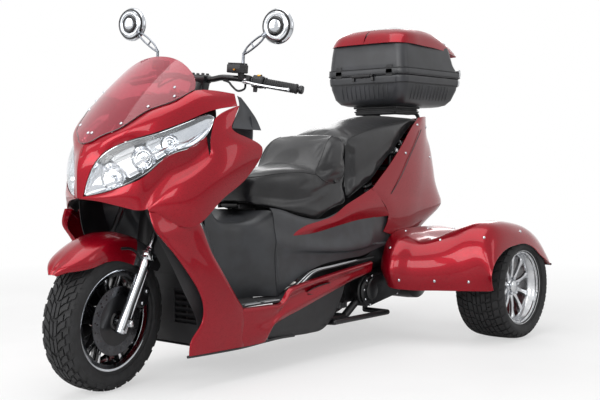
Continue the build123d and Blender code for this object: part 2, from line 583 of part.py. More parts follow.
SHOCK_R = 26.0
SHOCK_X = 66.0
SHOCK_BAR_R = 13.0
shock_low = (SHOCK_X, R(-6), REAR_TYRE_R + 60)
shock_high = (SHOCK_X, R(-222), 738)
shock = rod(shock_low, shock_high, 12) + rod((SHOCK_X, R(-60), 400), (SHOCK_X, R(-190), 671), SHOCK_R)
shock += Pos(*shock_high) * Rot(0, 90, 0) * Cylinder(22, 34)
shock -= Pos(*shock_high) * Rot(0, 90, 0) * Cylinder(SHOCK_BAR_R + SEAT_GAP, 40)
shock -= Pos(0, REAR_Y, REAR_TYRE_R) * Rot(0, 90, 0) * Cylinder(92 + SEAT_GAP, 200)
node("rear_shocks", shock + mirror_x(shock))
main_frame += rod((-136, shock_high[1], shock_high[2]), (136, shock_high[1], shock_high[2]), SHOCK_BAR_R)

MUFFLER_X = -292.0
exhaust = rod((MUFFLER_X, R(-440), 190), (MUFFLER_X, R(-70), 205), 46)
exhaust += pipe_run([(-RAIL_X + 20, R(-560), 230), (-RAIL_X - 40, R(-600), 200), (MUFFLER_X, R(-560), 186),
                     (MUFFLER_X, R(-430), 190)], 19)
exhaust += rod((MUFFLER_X, R(-70), 205), (MUFFLER_X, R(-50), 206), 20)
exhaust -= engine + rails + mirror_x(rails)
node("exhaust", exhaust)

# ---------------------------------------------------------------- side panels, tail and rear fenders

SKIRT = [(222, 256), (210, 420), (192, 560), (184, 700), (176, 960)]
SIDE_PANEL = [(-1122, 264), (-950, 354), (-540, 381), (-420, 424 + GAP), (-70, 424 + GAP), (-44, 600),
              (-56, 944), (-104, 918), (-284, 792), (-464, 662), (-640, 590), (-843, 536), (-1140, 594)]
# the red blade under the seat, which belongs to the tail cowl; its outline starts at the tip
BLADE_EDGE = [(-1038, 487), (-886, 492), (-749, 509), (-555, 534), (-382, 541), (-454, 504), (-488, 460),
              (-311, 465)]
BLADE_TOP = [(-56, 944), (-104, 918), (-284, 792), (-464, 662), (-640, 590), (-843, 536), (-960, 520)]
BLADE = BLADE_EDGE + [(-84, 470), (-44, 600)] + BLADE_TOP
# the side panel is cut for the blade right back to its rear edge, so that no sliver of it is left there
BLADE_CUT = BLADE_EDGE + [(-40, 470), (-20, 600), (-40, 960)] + BLADE_TOP
skirt_band = front(band(SKIRT, (-PANEL_T, 0)), R(-1200), R(0))
side_panel = skirt_band & side([(R(y), z) for y, z in SIDE_PANEL], 100, 300)
blade = side_panel & extrude(Plane.YZ.offset(100) * outline([(R(y), z) for y, z in BLADE]), 200)
blade_cut = offset(outline([(R(y), z) for y, z in BLADE_CUT]), GAP)
side_panel -= extrude(Plane.YZ.offset(100) * blade_cut, 200)
node("side_panels", side_panel + mirror_x(side_panel))

TAIL = [(-90, 948), (-50, 948), (6, 770), (130, 582), (206, 566), (206, 545), (-84, 470), (-36, 600)]
TAIL_PLAN = [(172.3, -100), (171, -30), (130, 110), (66, 206)]
tail_volume = side([(R(y), z) for y, z in TAIL], -200, 200)
tail_half = [(0, R(-100))] + [(x, R(y)) for x, y in TAIL_PLAN] + [(0, R(206))]
tail_volume &= plan(both_ways(tail_half), 400, 1000)
tail_inside = side([(R(-92), 944), (R(-53), 944), (R(2), 767), (R(127), 578), (R(202), 562), (R(202), 520),
                    (R(-84), 400), (R(-100), 400)], -166, 166)
tail_inside &= plan(both_ways([(0, R(-101))] + [(x - PANEL_T, R(y) - PANEL_T / 2) for x, y in TAIL_PLAN]
                              + [(0, R(202))]), 400, 1000)
tail_cowl = tail_volume - tail_inside
SEAM_Z = (520, 900)            # the strip that joins a blade to the tail, under the end of the seat
seam_line = [(165, SEAM_Z[1]), (165, SEAM_Z[0]), (193, SEAM_Z[0]), (182, 700), (176, SEAM_Z[1])]
seam_strip = front(seam_line, R(-66), R(-62))
tail_cowl += blade + seam_strip
tail_cowl += mirror_x(blade + seam_strip)

light_line = [(R(-27), 862), (R(1), 774), (R(37), 716)]
tail_light = side(band(light_line, (16, 9)), -92, 92) - Pos(0, GAP, 0) * tail_volume
node("tail_light", tail_light)

FENDER_PLAN = [(206, -478), (268, -522), (FENDER_HALF - 252, -440), (FENDER_HALF - 52, -318),
               (FENDER_HALF - 12, -260), (FENDER_HALF, -180), (FENDER_HALF, 120), (FENDER_HALF - 16, 200),
               (FENDER_HALF - 62, 262), (FENDER_HALF - 152, REAR_REACH), (300, 262), (206, 240)]
FENDER_SIDE = [(-522, 212), (-516, 290), (-412, 424), (-284, 438), (-180, 484), (0, 506), (120, 492),
               (230, 424), (REAR_REACH, 320), (REAR_REACH, 250), (258, 212)]
FENDER_FRONT = [(200, 212), (200, 424), (330, 424), (FENDER_HALF - 212, 486), (FENDER_HALF - 92, 506),
                (FENDER_HALF - 32, 492), (FENDER_HALF, 440), (FENDER_HALF, 212)]
ARCH = [(-300, 190), (-294, 262), (-238, 366), (-120, 432), (0, 440), (110, 418), (200, 345), (238, 262),
        (240, 190)]


def fender_volume(inset):
    """Outer shape of the left rear fender body, or with an inset the space inside its walls, open below."""
    cx, cy = FENDER_HALF - 222, 0
    xy = [(x - math.copysign(inset, x - cx), R(y - math.copysign(inset, y - cy))) for x, y in FENDER_PLAN]
    yz = [(R(y - math.copysign(inset, y - cy)), z - (inset if z > 213 else 40)) for y, z in FENDER_SIDE]
    xz = [(x - math.copysign(inset, x - cx), z - (inset if z > 213 else 40)) for x, z in FENDER_FRONT]
    if not inset:
        yz = [(R(y), z) for y, z in FENDER_SIDE]
        xz = FENDER_FRONT
    return plan(xy, 150, 560) & side(yz, 150, FENDER_HALF + 48) & front(xz, R(-600), R(300))


fender = fender_volume(0) - fender_volume(FENDER_T)
body_side = [(0, 150), (SKIRT[0][0] + GAP, 150)] + [(x + GAP, z) for x, z in SKIRT] + [(0, 960)]
fender -= front(body_side, R(-600), R(-40))
fender -= side([(R(y), z) for y, z in ARCH], FENDER_HALF - 52, FENDER_HALF + 48)
fender -= Pos(0, REAR_Y, REAR_TYRE_R) * Rot(0, 90, 0) * Cylinder(AXLE_TUBE_R + 20, 2 * AXLE_HALF)
node("left_rear_fender", fender)
node("right_rear_fender", mirror_x(fender))

# ---------------------------------------------------------------- seats, bin, rack and top box

SEAT_CLEAR = 6.0               # between the opening seat and the fixed one
BIN_TOP = 612.0
PIN_R = 4.0
ARM_X = 54.0
RIDER_BACK = R(-646)
HINGE_Y, HINGE_Z = R(-1152), 600.0
RIDER = [(R(-1146), 604), (R(-1138), 664), (R(-1114), SEAT_FRONT_Z), (R(-984), 735), (R(-884), 760),
         (R(-824), 800), (R(-777), 867), (R(-700), 876), (RIDER_BACK, 862), (RIDER_BACK, 606),
         (R(-843), 542)]
rider_seat = side(RIDER, -SEAT_HALF, SEAT_HALF)
rider_seat &= plan(both_ways([(0, R(-1150)), (96, R(-1146)), (124, R(-1060)), (168, R(-900)),
                              (SEAT_HALF, R(-800)), (SEAT_HALF, RIDER_BACK), (0, RIDER_BACK)]), 500, 1000)
rider_seat -= block(-SEAT_HALF + 24, SEAT_HALF - 24, R(-1110), RIDER_BACK + 1, 500, BIN_TOP + GAP)
rider_seat += rod((-40, HINGE_Y, HINGE_Z), (40, HINGE_Y, HINGE_Z), 7)
rider_seat += block(-40, 40, HINGE_Y, R(-1138), 600, 607)
rider_seat -= rod((-60, HINGE_Y, HINGE_Z), (60, HINGE_Y, HINGE_Z), PIN_R + RUN_GAP)
for sx in (-ARM_X, ARM_X):
    rider_seat -= block(sx - 12, sx + 12, HINGE_Y - 20, R(-1090), 560, BIN_TOP + GAP)
node("rider_seat", rider_seat)
PASSENGER_FRONT = RIDER_BACK + SEAT_CLEAR
PASSENGER = [(PASSENGER_FRONT, 612), (PASSENGER_FRONT, 864), (R(-520), 906), (R(-415), SEAT_REAR_Z),
             (R(-86), SEAT_REAR_Z + 6), (R(-60), 956), (R(-60), 948 + GAP), (R(-94), 948 + GAP),
             (R(-284), 806), (R(-464), 676)]
passenger_seat = side(PASSENGER, -172, 172)
node("passenger_seat", passenger_seat)

for sx in (-ARM_X, ARM_X):
    main_frame += pipe_run([(sx, R(-1063), 432), (sx, R(-1082), 500), (sx, R(-1082), 588)], 6)
    main_frame += block(sx - 4, sx + 4, HINGE_Y - 8, R(-1078), HINGE_Z - 9, HINGE_Z + 6)
main_frame += rod((-ARM_X - 8, HINGE_Y, HINGE_Z), (ARM_X + 8, HINGE_Y, HINGE_Z), PIN_R)

BIN_HALF = RAIL_X - TUBE_R - SEAT_GAP
BIN_T = 3.0
storage_bin = block(-BIN_HALF, BIN_HALF, R(-1030), R(-672), 398, BIN_TOP)
storage_bin -= block(-BIN_HALF + BIN_T, BIN_HALF - BIN_T, R(-1030) + BIN_T, R(-672) - BIN_T, 398 + BIN_T,
                     BIN_TOP + 1)
node("storage_bin", storage_bin)

SEAT_POST_Y = R(-300)
post = rod((142, SEAT_POST_Y, 676), (142, SEAT_POST_Y, 860), 10)
main_frame += post + mirror_x(post)
main_frame -= Pos(0, 0, -SEAT_GAP) * passenger_seat

RACK_R = 9.0
rack_line = [(112, R(-340), RACK_Z - RACK_R), (112, R(-34), RACK_Z - RACK_R), (112, R(-34), 930),
             (118, R(-84), 885)]
rack_rail = pipe_run(rack_line, RACK_R)
rack = rack_rail + mirror_x(rack_rail) + block(-152, 152, R(-348), R(60), RACK_Z - 1, BOX_Z - SEAT_GAP)
rack += rod((-112, R(-330), RACK_Z - RACK_R), (112, R(-330), RACK_Z - RACK_R), RACK_R)
rack -= main_frame
rail_end = rod(SEAT_RAIL[2], SEAT_RAIL[3], TUBE_R + SEAT_GAP)
rail_end += Pos(*SEAT_RAIL[3]) * Sphere(TUBE_R + SEAT_GAP)
rack -= rail_end + mirror_x(rail_end)
node("luggage_rack", rack)
rack_hole = rod((112, R(-34), 975), (112, R(-34), 918), RACK_R + 2)
rack_hole += rod((112, R(-28), 936), (118, R(-90), 880), RACK_R + 2)
tail_cowl -= rack_hole + mirror_x(rack_hole)
node("tail_cowl", tail_cowl)

BOX_R = 56.0
BOX_Y0, BOX_Y1 = R(BOX_FRONT), R(BOX_BACK)


def box_block(inset, z0, z1):
    """Rounded rectangular prism on the top box's plan, with its walls moved in by inset."""
    face = RectangleRounded(2 * (BOX_HALF - inset), BOX_Y1 - BOX_Y0 - 2 * inset, BOX_R - inset)
    return extrude(Plane.XY.offset(z0) * (Pos(0, (BOX_Y0 + BOX_Y1) / 2) * face), z1 - z0)


LID_SIDE = [(BOX_Y0 - 2, BOX_SEAM_Z - 60), (BOX_Y0 - 2, BOX_SEAM_Z + 150), (BOX_Y0 + 36, BOX_TOP_Z - 12),
            (BOX_Y0 + 120, BOX_TOP_Z), (BOX_Y1 - 130, BOX_TOP_Z), (BOX_Y1 - 40, BOX_TOP_Z - 30),
            (BOX_Y1 + 2, BOX_SEAM_Z + 120), (BOX_Y1 + 2, BOX_SEAM_Z - 60)]
LID_FRONT = [(BOX_HALF + 2, BOX_SEAM_Z - 60), (BOX_HALF + 2, BOX_SEAM_Z + 150),
             (BOX_HALF - 34, BOX_TOP_Z - 14), (BOX_HALF - 110, BOX_TOP_Z + 1)]


def lid_volume(inset):
    """Domed outer shape of the lid, or with an inset the space inside it, open below."""
    shape = box_block(inset, BOX_SEAM_Z + (-2 if inset else GAP), BOX_TOP_Z + 20)
    shape &= side([(y, z - inset) for y, z in LID_SIDE], -300, 300)
    shape &= front(both_ways([(x, z - inset) for x, z in LID_FRONT]), R(-400), R(300))
    return shape


BOX_HINGE_Y, BOX_HINGE_Z = BOX_Y0 - 9, BOX_SEAM_Z
lid = lid_volume(0) - lid_volume(BOX_WALL)
lid += rod((-44, BOX_HINGE_Y, BOX_HINGE_Z), (44, BOX_HINGE_Y, BOX_HINGE_Z), 7)
lid += block(-44, 44, BOX_HINGE_Y, BOX_Y0 + 2, BOX_HINGE_Z + GAP, BOX_HINGE_Z + 7)
lid -= rod((-70, BOX_HINGE_Y, BOX_HINGE_Z), (70, BOX_HINGE_Y, BOX_HINGE_Z), PIN_R + RUN_GAP)
node("top_box_lid", lid)

box_base = box_block(0, BOX_Z, BOX_SEAM_Z) - box_block(BOX_WALL, BOX_Z + BOX_WALL, BOX_SEAM_Z + 1)
for sx in (-52, 52):
    box_base += block(sx - 6, sx + 6, BOX_HINGE_Y - 6, BOX_Y0 + 2, BOX_HINGE_Z - 24, BOX_HINGE_Z)
    box_base += rod((sx - 6, BOX_HINGE_Y, BOX_HINGE_Z), (sx + 6, BOX_HINGE_Y, BOX_HINGE_Z), 6)
box_base += rod((-56, BOX_HINGE_Y, BOX_HINGE_Z), (56, BOX_HINGE_Y, BOX_HINGE_Z), PIN_R)
node("top_box_base", box_base)

STEP_R = 11.0
step = pipe_run([(RAIL_X + TUBE_R + SEAT_GAP, R(-810), RAIL_Z), (236, R(-810), 134), (236, R(-455), 134),
                 (120, R(-455), 134), (120, R(-455), 170 - SEAT_GAP)], STEP_R)
step -= rails
node("step_bars", step + mirror_x(step))

# ---------------------------------------------------------------- write the files

node("main_frame", main_frame)

if __name__ == "__main__":
    os.makedirs("parts", exist_ok=True)
    for name, shape in NODES.items():
        export_step(shape, f"parts/{name}.step")
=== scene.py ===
# %% [markdown]
# # A motor trike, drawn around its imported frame
#
# The CAD model already says where every wheel, panel and joint of this three-wheeled scooter is. This lesson
# gives it its looks: smooth painted panels, lamps, tyres with tread, a padded seat and the finishes. Each piece
# is drawn in the same place as its CAD node, rides on the same body and so moves with the same joints.

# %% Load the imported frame
import json
import math

import bmesh
import bpy
import numpy as np
from mathutils import Matrix, Vector
from mathutils.bvhtree import BVHTree


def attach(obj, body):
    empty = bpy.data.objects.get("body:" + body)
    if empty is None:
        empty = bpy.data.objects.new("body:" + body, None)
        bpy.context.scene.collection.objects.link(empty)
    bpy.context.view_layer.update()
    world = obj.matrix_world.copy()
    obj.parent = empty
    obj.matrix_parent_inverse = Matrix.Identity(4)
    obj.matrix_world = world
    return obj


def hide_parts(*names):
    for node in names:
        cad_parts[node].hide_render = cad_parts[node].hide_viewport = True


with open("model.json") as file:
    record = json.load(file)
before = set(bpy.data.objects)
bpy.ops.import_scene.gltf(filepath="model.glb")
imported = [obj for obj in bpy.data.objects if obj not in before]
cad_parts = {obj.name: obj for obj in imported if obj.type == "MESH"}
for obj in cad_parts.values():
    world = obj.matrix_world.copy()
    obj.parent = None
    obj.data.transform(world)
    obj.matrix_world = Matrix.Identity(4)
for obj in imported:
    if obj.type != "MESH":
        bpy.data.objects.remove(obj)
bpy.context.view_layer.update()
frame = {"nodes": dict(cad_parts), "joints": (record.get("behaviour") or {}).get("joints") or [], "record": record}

# %% [markdown]
# ## Where things are
#
# The drawing is done in millimetres, because that is how such a machine is drawn, and turned to metres when a
# mesh is made. Two stations say where a point is along the machine: F(d) is d behind the front axle and R(d) is
# d behind the rear axle. Both come from the joints, so no position is guessed. The front end is drawn straight
# ahead and then turned about the steering axis to where it stands at rest.

# %% Stations and the steering turn
MM = 0.001
ORIGIN, ACROSS, BACKWARDS, UPWARDS = (0, 0, 0), (1, 0, 0), (0, 1, 0), (0, 0, 1)
PANEL_WALL, LINER_WALL = 3.5, 3.0
JOINTS = {joint["name"]: joint for joint in frame["joints"]}
STEER = JOINTS["steering_turn"]
STEER_POINT = np.array(STEER["pos_m"]) / MM
STEER_UP = np.array(STEER["axis"], float)
STEER_REST = -(STEER["range_deg"][0] + STEER["range_deg"][1]) / 2
REAR_AXLE = np.array(JOINTS["left_rear_wheel_spin"]["pos_m"]) / MM


def about(point, axis, degrees):
    """Matrix that turns a point in millimetres about an axis through another point."""
    to, back = Matrix.Translation(Vector(point)), Matrix.Translation(-Vector(point))
    return to @ Matrix.Rotation(math.radians(degrees), 4, Vector(axis)) @ back


def moved(points, matrix):
    """Points after a matrix, in the shape they came in."""
    m = np.array(matrix)
    p = np.asarray(points, float)
    return p @ m[:3, :3].T + m[:3, 3]


STEER_TURN = about(STEER_POINT, STEER_UP, STEER_REST)
FRONT_AXLE = moved(np.array(JOINTS["front_wheel_spin"]["pos_m"]) / MM, STEER_TURN.inverted())
FRONT_AXLE[0] = 0.0


def F(d):
    """Place along the machine, d behind the front axle."""
    return FRONT_AXLE[1] + d


def R(d):
    """Place along the machine, d behind the rear axle."""
    return REAR_AXLE[1] + d


print("front axle", FRONT_AXLE.round(1), "rear axle", REAR_AXLE.round(1), "turned by", STEER_REST)

# %% [markdown]
# ## Shapes as points and faces
#
# Body panels are skins: a few typed lines, a smooth curve through each line, and smooth curves from line to
# line. A hand-pushed mesh would give the same look, but a skin keeps its edges exactly on the typed lines, so
# neighbouring panels meet. A shape is kept as (points, faces) until it becomes a piece, so that several shapes of
# one finish can share one object.


# %% Smooth lines and skins
def through(points, n, closed=False):
    """n points on a smooth line through the given ones; the k-th given point keeps its share of the line."""
    p = np.array(points, float)
    if closed:
        p = np.vstack([p, p[:1]])
    t = np.linspace(0, len(p) - 1, n + (1 if closed else 0))
    if closed:
        t = t[:-1]
    k = np.minimum(t.astype(int), len(p) - 2)
    u = (t - k)[:, None]
    step = np.linalg.norm(np.diff(p, axis=0), axis=1) ** 0.5 + 1e-6
    slope = np.diff(p, axis=0) / step[:, None]
    tangent = np.zeros_like(p)
    tangent[1:-1] = (slope[:-1] * step[1:, None] + slope[1:] * step[:-1, None]) / (step[:-1] + step[1:])[:, None]
    if closed:
        ends = (slope[-1] * step[0] + slope[0] * step[-1]) / (step[-1] + step[0])
        tangent[0] = tangent[-1] = ends
    else:
        tangent[0], tangent[-1] = 1.5 * slope[0] - 0.5 * tangent[1], 1.5 * slope[-1] - 0.5 * tangent[-2]
    h = step[k][:, None]
    return (p[k] * (1 + 2 * u) * (1 - u) ** 2 + p[k + 1] * u ** 2 * (3 - 2 * u)
            + h * tangent[k] * u * (1 - u) ** 2 + h * tangent[k + 1] * u ** 2 * (u - 1))


def skin(lines, along=40, across=14, closed=False):
    """Grid of points on a smooth surface through lines that all have the same number of points."""
    rows = np.array([through(line, along, closed) for line in lines])
    return np.stack([through(rows[:, k], across) for k in range(rows.shape[1])], axis=1)


def facing(grid, out):
    """The grid turned over if it faces away from out."""
    n = np.cross(np.gradient(grid, axis=0), np.gradient(grid, axis=1))
    return grid if (n @ np.array(out, float)).mean() > 0 else grid[::-1]


def grid_normals(grid):
    n = np.cross(np.gradient(grid, axis=0), np.gradient(grid, axis=1))
    size = np.linalg.norm(n, axis=2, keepdims=True)
    mean = n.mean(axis=(0, 1))
    return np.where(size > 1e-3 * size.mean(), n / np.maximum(size, 1e-12), mean / np.linalg.norm(mean))


def quads(rows, cols, start=0, wrap=False):
    """Faces of a grid of points, row by row; wrap joins the last column to the first."""
    last = cols if wrap else cols - 1
    return [(start + i * cols + j, start + (i + 1) * cols + j, start + (i + 1) * cols + (j + 1) % cols,
             start + i * cols + (j + 1) % cols) for i in range(rows - 1) for j in range(last)]


def shell(grid, wall, out):
    """A panel: the grid as its outer face, an inner face wall behind it, and the rim between them."""
    grid = facing(grid, out)
    rows, cols = grid.shape[:2]
    inner = grid - grid_normals(grid) * wall
    n = rows * cols
    faces = quads(rows, cols) + [face[::-1] for face in quads(rows, cols, n)]
    rim = [i * cols for i in range(rows)] + [(rows - 1) * cols + j for j in range(1, cols)]
    rim += [i * cols + cols - 1 for i in range(rows - 2, -1, -1)] + list(range(cols - 2, 0, -1))
    faces += [(a, a + n, b + n, b) for a, b in zip(rim, rim[1:] + rim[:1])]
    return np.vstack([grid.reshape(-1, 3), inner.reshape(-1, 3)]), faces


def loft(rings, close_ends=True):
    """A closed body through rings with equal numbers of points, its ends closed by fans."""
    g = np.array(rings, float)
    rows, cols = g.shape[:2]
    faces = quads(rows, cols, wrap=True)
    points = g.reshape(-1, 3)
    if close_ends:
        points = np.vstack([points, g[0].mean(axis=0), g[-1].mean(axis=0)])
        a, b = rows * cols, rows * cols + 1
        faces += [(a, j, (j + 1) % cols) for j in range(cols)]
        faces += [(b, (rows - 1) * cols + (j + 1) % cols, (rows - 1) * cols + j) for j in range(cols)]
    return points, faces


def axes_for(direction):
    """Two unit vectors square to a direction."""
    d = np.array(direction, float) / np.linalg.norm(direction)
    side = np.cross(d, UPWARDS) if abs(d[2]) < 0.9 else np.cross(d, BACKWARDS)
    side /= np.linalg.norm(side)
    return side, np.cross(d, side)


def lathe(profile, centre, axis=ACROSS, steps=48, smooth=0):
    """A turned shape: profile is (distance along the axis, radius)."""
    a = np.array(axis, float) / np.linalg.norm(axis)
    u, v = axes_for(a)
    line = through(profile, smooth) if smooth else np.array(profile, float)
    angles = np.linspace(0, 2 * math.pi, steps, endpoint=False)
    ring = np.cos(angles)[:, None] * u + np.sin(angles)[:, None] * v
    rings = [np.array(centre) + a * s + ring * r for s, r in line]
    closed = np.allclose(line[0], line[-1])
    return loft(rings[:-1] + rings[:1], False) if closed else loft(rings, True)


def tube(points, radius, n=24, sides=10):
    """A round bar or hose along a line; radius is one number or one for each given point."""
    line = through(points, n)
    radii = through([[r] for r in radius], n)[:, 0] if np.ndim(radius) else np.full(n, float(radius))
    heading = np.gradient(line, axis=0)
    heading /= np.linalg.norm(heading, axis=1, keepdims=True)
    u, _ = axes_for(heading[0])
    rings = []
    for p, d, r in zip(line, heading, radii):
        u = u - d * (u @ d)
        u /= np.linalg.norm(u)
        v = np.cross(d, u)
        angles = np.linspace(0, 2 * math.pi, sides, endpoint=False)
        rings.append(p + r * (np.cos(angles)[:, None] * u + np.sin(angles)[:, None] * v))
    return loft(rings)


def slab(outline, lift, origin=ORIGIN, x_axis=ACROSS, y_axis=BACKWARDS, soften=1.5):
    """A flat plate from an outline: lifted along the plane's normal from lift[0] to lift[1], with eased edges."""
    x, y = np.array(x_axis, float), np.array(y_axis, float)
    x, y = x / np.linalg.norm(x), y / np.linalg.norm(y)
    z = np.cross(x, y)
    p = np.array(outline, float)
    area = sum(p[k - 1][0] * p[k][1] - p[k][0] * p[k - 1][1] for k in range(len(p)))
    p = p if area > 0 else p[::-1]
    centre = p.mean(axis=0)
    reach = np.abs(p - centre).max()
    inset = centre + (p - centre) * (1 - soften / max(reach, soften * 2))
    place = lambda q, h: np.array(origin, float) + q[:, :1] * x + q[:, 1:2] * y + z * h
    return loft([place(inset, lift[0]), place(p, lift[0] + soften), place(p, lift[1] - soften),
                 place(inset, lift[1])])


def mirrored(shape):
    """The same shape on the other side of the machine."""
    points, faces = shape
    return points * (-1, 1, 1), [face[::-1] for face in faces]


def both(*shapes):
    """The shapes, then their mirror images."""
    return [*shapes, *map(mirrored, shapes)]


print("a test line of 5 points", through([ORIGIN, (10, 0, 0), (10, 10, 0)], 5).round(1).tolist())

# %% [markdown]
# ## From shapes to pieces
#
# A piece is one Blender object with one finish. It rides on a CAD body and may stand for CAD nodes. Panels get
# a small bevel on their sharp edges, because a real moulded or pressed edge is never sharp, and it is that narrow
# round that catches the light.

# %% Make a piece
MADE = {}
JOIN_WITHIN, SLIVER = 2e-5, 1e-6  # metres
SHARP_FROM, BEVEL_FROM = 40, 50  # degrees


def new_object(name, data):
    """An object in the scene for a mesh, lamp or camera."""
    obj = bpy.data.objects.new(name, data)
    bpy.context.scene.collection.objects.link(obj)
    return obj


def mesh_of(name, shapes, matrix=None, drop_slivers=False):
    """One mesh from (points, faces) shapes, with doubled points joined and every face turned outwards."""
    points, faces = [], []
    for shape_points, shape_faces in shapes:
        start = sum(len(p) for p in points)
        points.append(np.asarray(shape_points, float))
        faces += [tuple(start + k for k in face) for face in shape_faces]
    points = np.vstack(points)
    points = moved(points, matrix) if matrix is not None else points
    mesh = bpy.data.meshes.new(name)
    mesh.from_pydata((points * MM).tolist(), [], faces)
    bm = bmesh.new()
    bm.from_mesh(mesh)
    bmesh.ops.remove_doubles(bm, verts=bm.verts, dist=JOIN_WITHIN)
    if drop_slivers:
        bmesh.ops.dissolve_degenerate(bm, dist=SLIVER, edges=bm.edges)
    bmesh.ops.recalc_face_normals(bm, faces=bm.faces)
    bm.to_mesh(mesh)
    bm.free()
    return mesh


def smooth_shaded(mesh, angle=SHARP_FROM):
    """Shades a mesh smooth, apart from edges sharper than the angle."""
    mesh.shade_smooth()
    mesh.set_sharp_from_angle(angle=math.radians(angle))
    return mesh


def piece(name, shapes, material, body, stands_for=(), steered=False, bevel=0.0, angle=SHARP_FROM):
    """Makes one object from (points, faces) shapes and gives it to a body."""
    mesh = mesh_of(name, shapes, STEER_TURN if steered else None, drop_slivers=True)
    return finish_piece(name, smooth_shaded(mesh, angle), material, body, stands_for, bevel)


def finish_piece(name, mesh, material, body, stands_for=(), bevel=0.0):
    """Puts a mesh in the scene as a piece of a body."""
    obj = new_object(name, mesh)
    mesh.materials.clear()
    mesh.materials.append(material)
    if bevel:
        modifier = obj.modifiers.new("eased edges", "BEVEL")
        modifier.width, modifier.segments = bevel * MM, 2
        modifier.limit_method, modifier.angle_limit = "ANGLE", math.radians(BEVEL_FROM)
    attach(obj, body)
    if stands_for:
        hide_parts(*stands_for)
    MADE[name] = obj
    return obj


# %% [markdown]
# ## Repeats with Geometry Nodes
#
# Tread blocks, spokes, rivets and slats are one small shape used many times. Three node trees do that: one
# turns copies about an axle, one sets copies in a row, and one sets them on marked points so that they face
# along each point's normal. Copying by hand in mesh code would also work, but the trees keep the count and the
# step as named inputs. The copies are realised at the end, because an export drops instances.


# %% Node trees that repeat a shape
def add(tree, kind, settings=None, inputs=None):
    """Adds one node, sets its properties, and fills or links its inputs."""
    made = tree.nodes.new(kind)
    for key, value in (settings or {}).items():
        setattr(made, key, value)
    for key, value in (inputs or {}).items():
        if isinstance(value, bpy.types.NodeSocket):
            tree.links.new(value, made.inputs[key])
        else:
            made.inputs[key].default_value = value
    return made


def new_tree(name, inputs):
    """An empty geometry tree with a Geometry input and output and the named inputs."""
    tree = bpy.data.node_groups.new(name, "GeometryNodeTree")
    tree.interface.new_socket("Geometry", in_out="INPUT", socket_type="NodeSocketGeometry")
    tree.interface.new_socket("Geometry", in_out="OUTPUT", socket_type="NodeSocketGeometry")
    for label, kind in inputs:
        tree.interface.new_socket(label, in_out="INPUT", socket_type="NodeSocket" + kind)
    return tree, add(tree, "NodeGroupInput"), add(tree, "NodeGroupOutput")


def end_tree(tree, source, target, instances):
    real = add(tree, "GeometryNodeRealizeInstances", None, {0: instances})
    painted = add(tree, "GeometryNodeSetMaterial", None, {0: real.outputs[0], 2: source.outputs["Finish"]})
    tree.links.new(painted.outputs[0], target.inputs[0])


AROUND, source, target = new_tree("copies around an axle", [("Count", "Int"), ("Centre", "Vector"),
                                                             ("Axle", "Vector"), ("Finish", "Material")])
spots = add(AROUND, "GeometryNodePoints", None, {0: source.outputs["Count"]})
index = add(AROUND, "GeometryNodeInputIndex")
share = add(AROUND, "ShaderNodeMath", {"operation": "DIVIDE"}, {0: index.outputs[0], 1: source.outputs["Count"]})
turn = add(AROUND, "ShaderNodeMath", {"operation": "MULTIPLY"}, {0: share.outputs[0], 1: 2 * math.pi})
rotation = add(AROUND, "FunctionNodeAxisAngleToRotation", None, {0: source.outputs["Axle"], 1: turn.outputs[0]})
inward = add(AROUND, "ShaderNodeVectorMath", {"operation": "SCALE"}, {0: source.outputs["Centre"], "Scale": -1.0})
home = add(AROUND, "GeometryNodeTransform", None, {0: source.outputs[0], "Translation": inward.outputs[0]})
copies = add(AROUND, "GeometryNodeInstanceOnPoints", None, {0: spots.outputs[0], 2: home.outputs[0],
                                                            5: rotation.outputs[0]})
back = add(AROUND, "GeometryNodeTransform", None, {0: copies.outputs[0], "Translation": source.outputs["Centre"]})
end_tree(AROUND, source, target, back.outputs[0])

IN_ROW, source, target = new_tree("copies in a row", [("Count", "Int"), ("Step", "Vector"), ("Finish", "Material")])
index = add(IN_ROW, "GeometryNodeInputIndex")
along = add(IN_ROW, "ShaderNodeVectorMath", {"operation": "SCALE"},
            {0: source.outputs["Step"], "Scale": index.outputs[0]})
spots = add(IN_ROW, "GeometryNodePoints", None, {0: source.outputs["Count"], 1: along.outputs[0]})
copies = add(IN_ROW, "GeometryNodeInstanceOnPoints", None, {0: spots.outputs[0], 2: source.outputs[0]})
end_tree(IN_ROW, source, target, copies.outputs[0])

ON_POINTS, source, target = new_tree("copies on marked points", [("Shape", "Object"), ("Size", "Float"),
                                                                 ("Finish", "Material")])
shape = add(ON_POINTS, "GeometryNodeObjectInfo", None, {0: source.outputs["Shape"]})
out = add(ON_POINTS, "GeometryNodeInputNamedAttribute", {"data_type": "FLOAT_VECTOR"}, {0: "facing"})
aim = add(ON_POINTS, "FunctionNodeAlignRotationToVector", {"axis": "Z"}, {"Vector": out.outputs[0]})
copies = add(ON_POINTS, "GeometryNodeInstanceOnPoints", None,
             {0: source.outputs[0], 2: shape.outputs["Geometry"], 5: aim.outputs[0], 6: source.outputs["Size"]})
end_tree(ON_POINTS, source, target, copies.outputs[0])


def grown(obj, tree, values):
    """The plain mesh that a tree makes from an object; the object itself is removed."""
    modifier = obj.modifiers.new(tree.name, "NODES")
    modifier.node_group = tree
    for item in tree.interface.items_tree:
        if item.in_out == "INPUT" and item.name in values:
            modifier[item.identifier] = values[item.name]
    evaluated = obj.evaluated_get(bpy.context.evaluated_depsgraph_get())
    mesh = bpy.data.meshes.new_from_object(evaluated)
    bpy.data.objects.remove(obj)
    return mesh


def repeated(name, shapes, tree, values, material, body, bevel=0.0, matrix=None):
    """A piece made of copies of a shape."""
    one = new_object(name + " one", mesh_of(name + " one", shapes, matrix))
    mesh = smooth_shaded(grown(one, tree, {**values, "Finish": material}))
    mesh.name = name
    finish_piece(name, mesh, material, body, (), bevel)
    print(name, len(mesh.polygons), "faces")


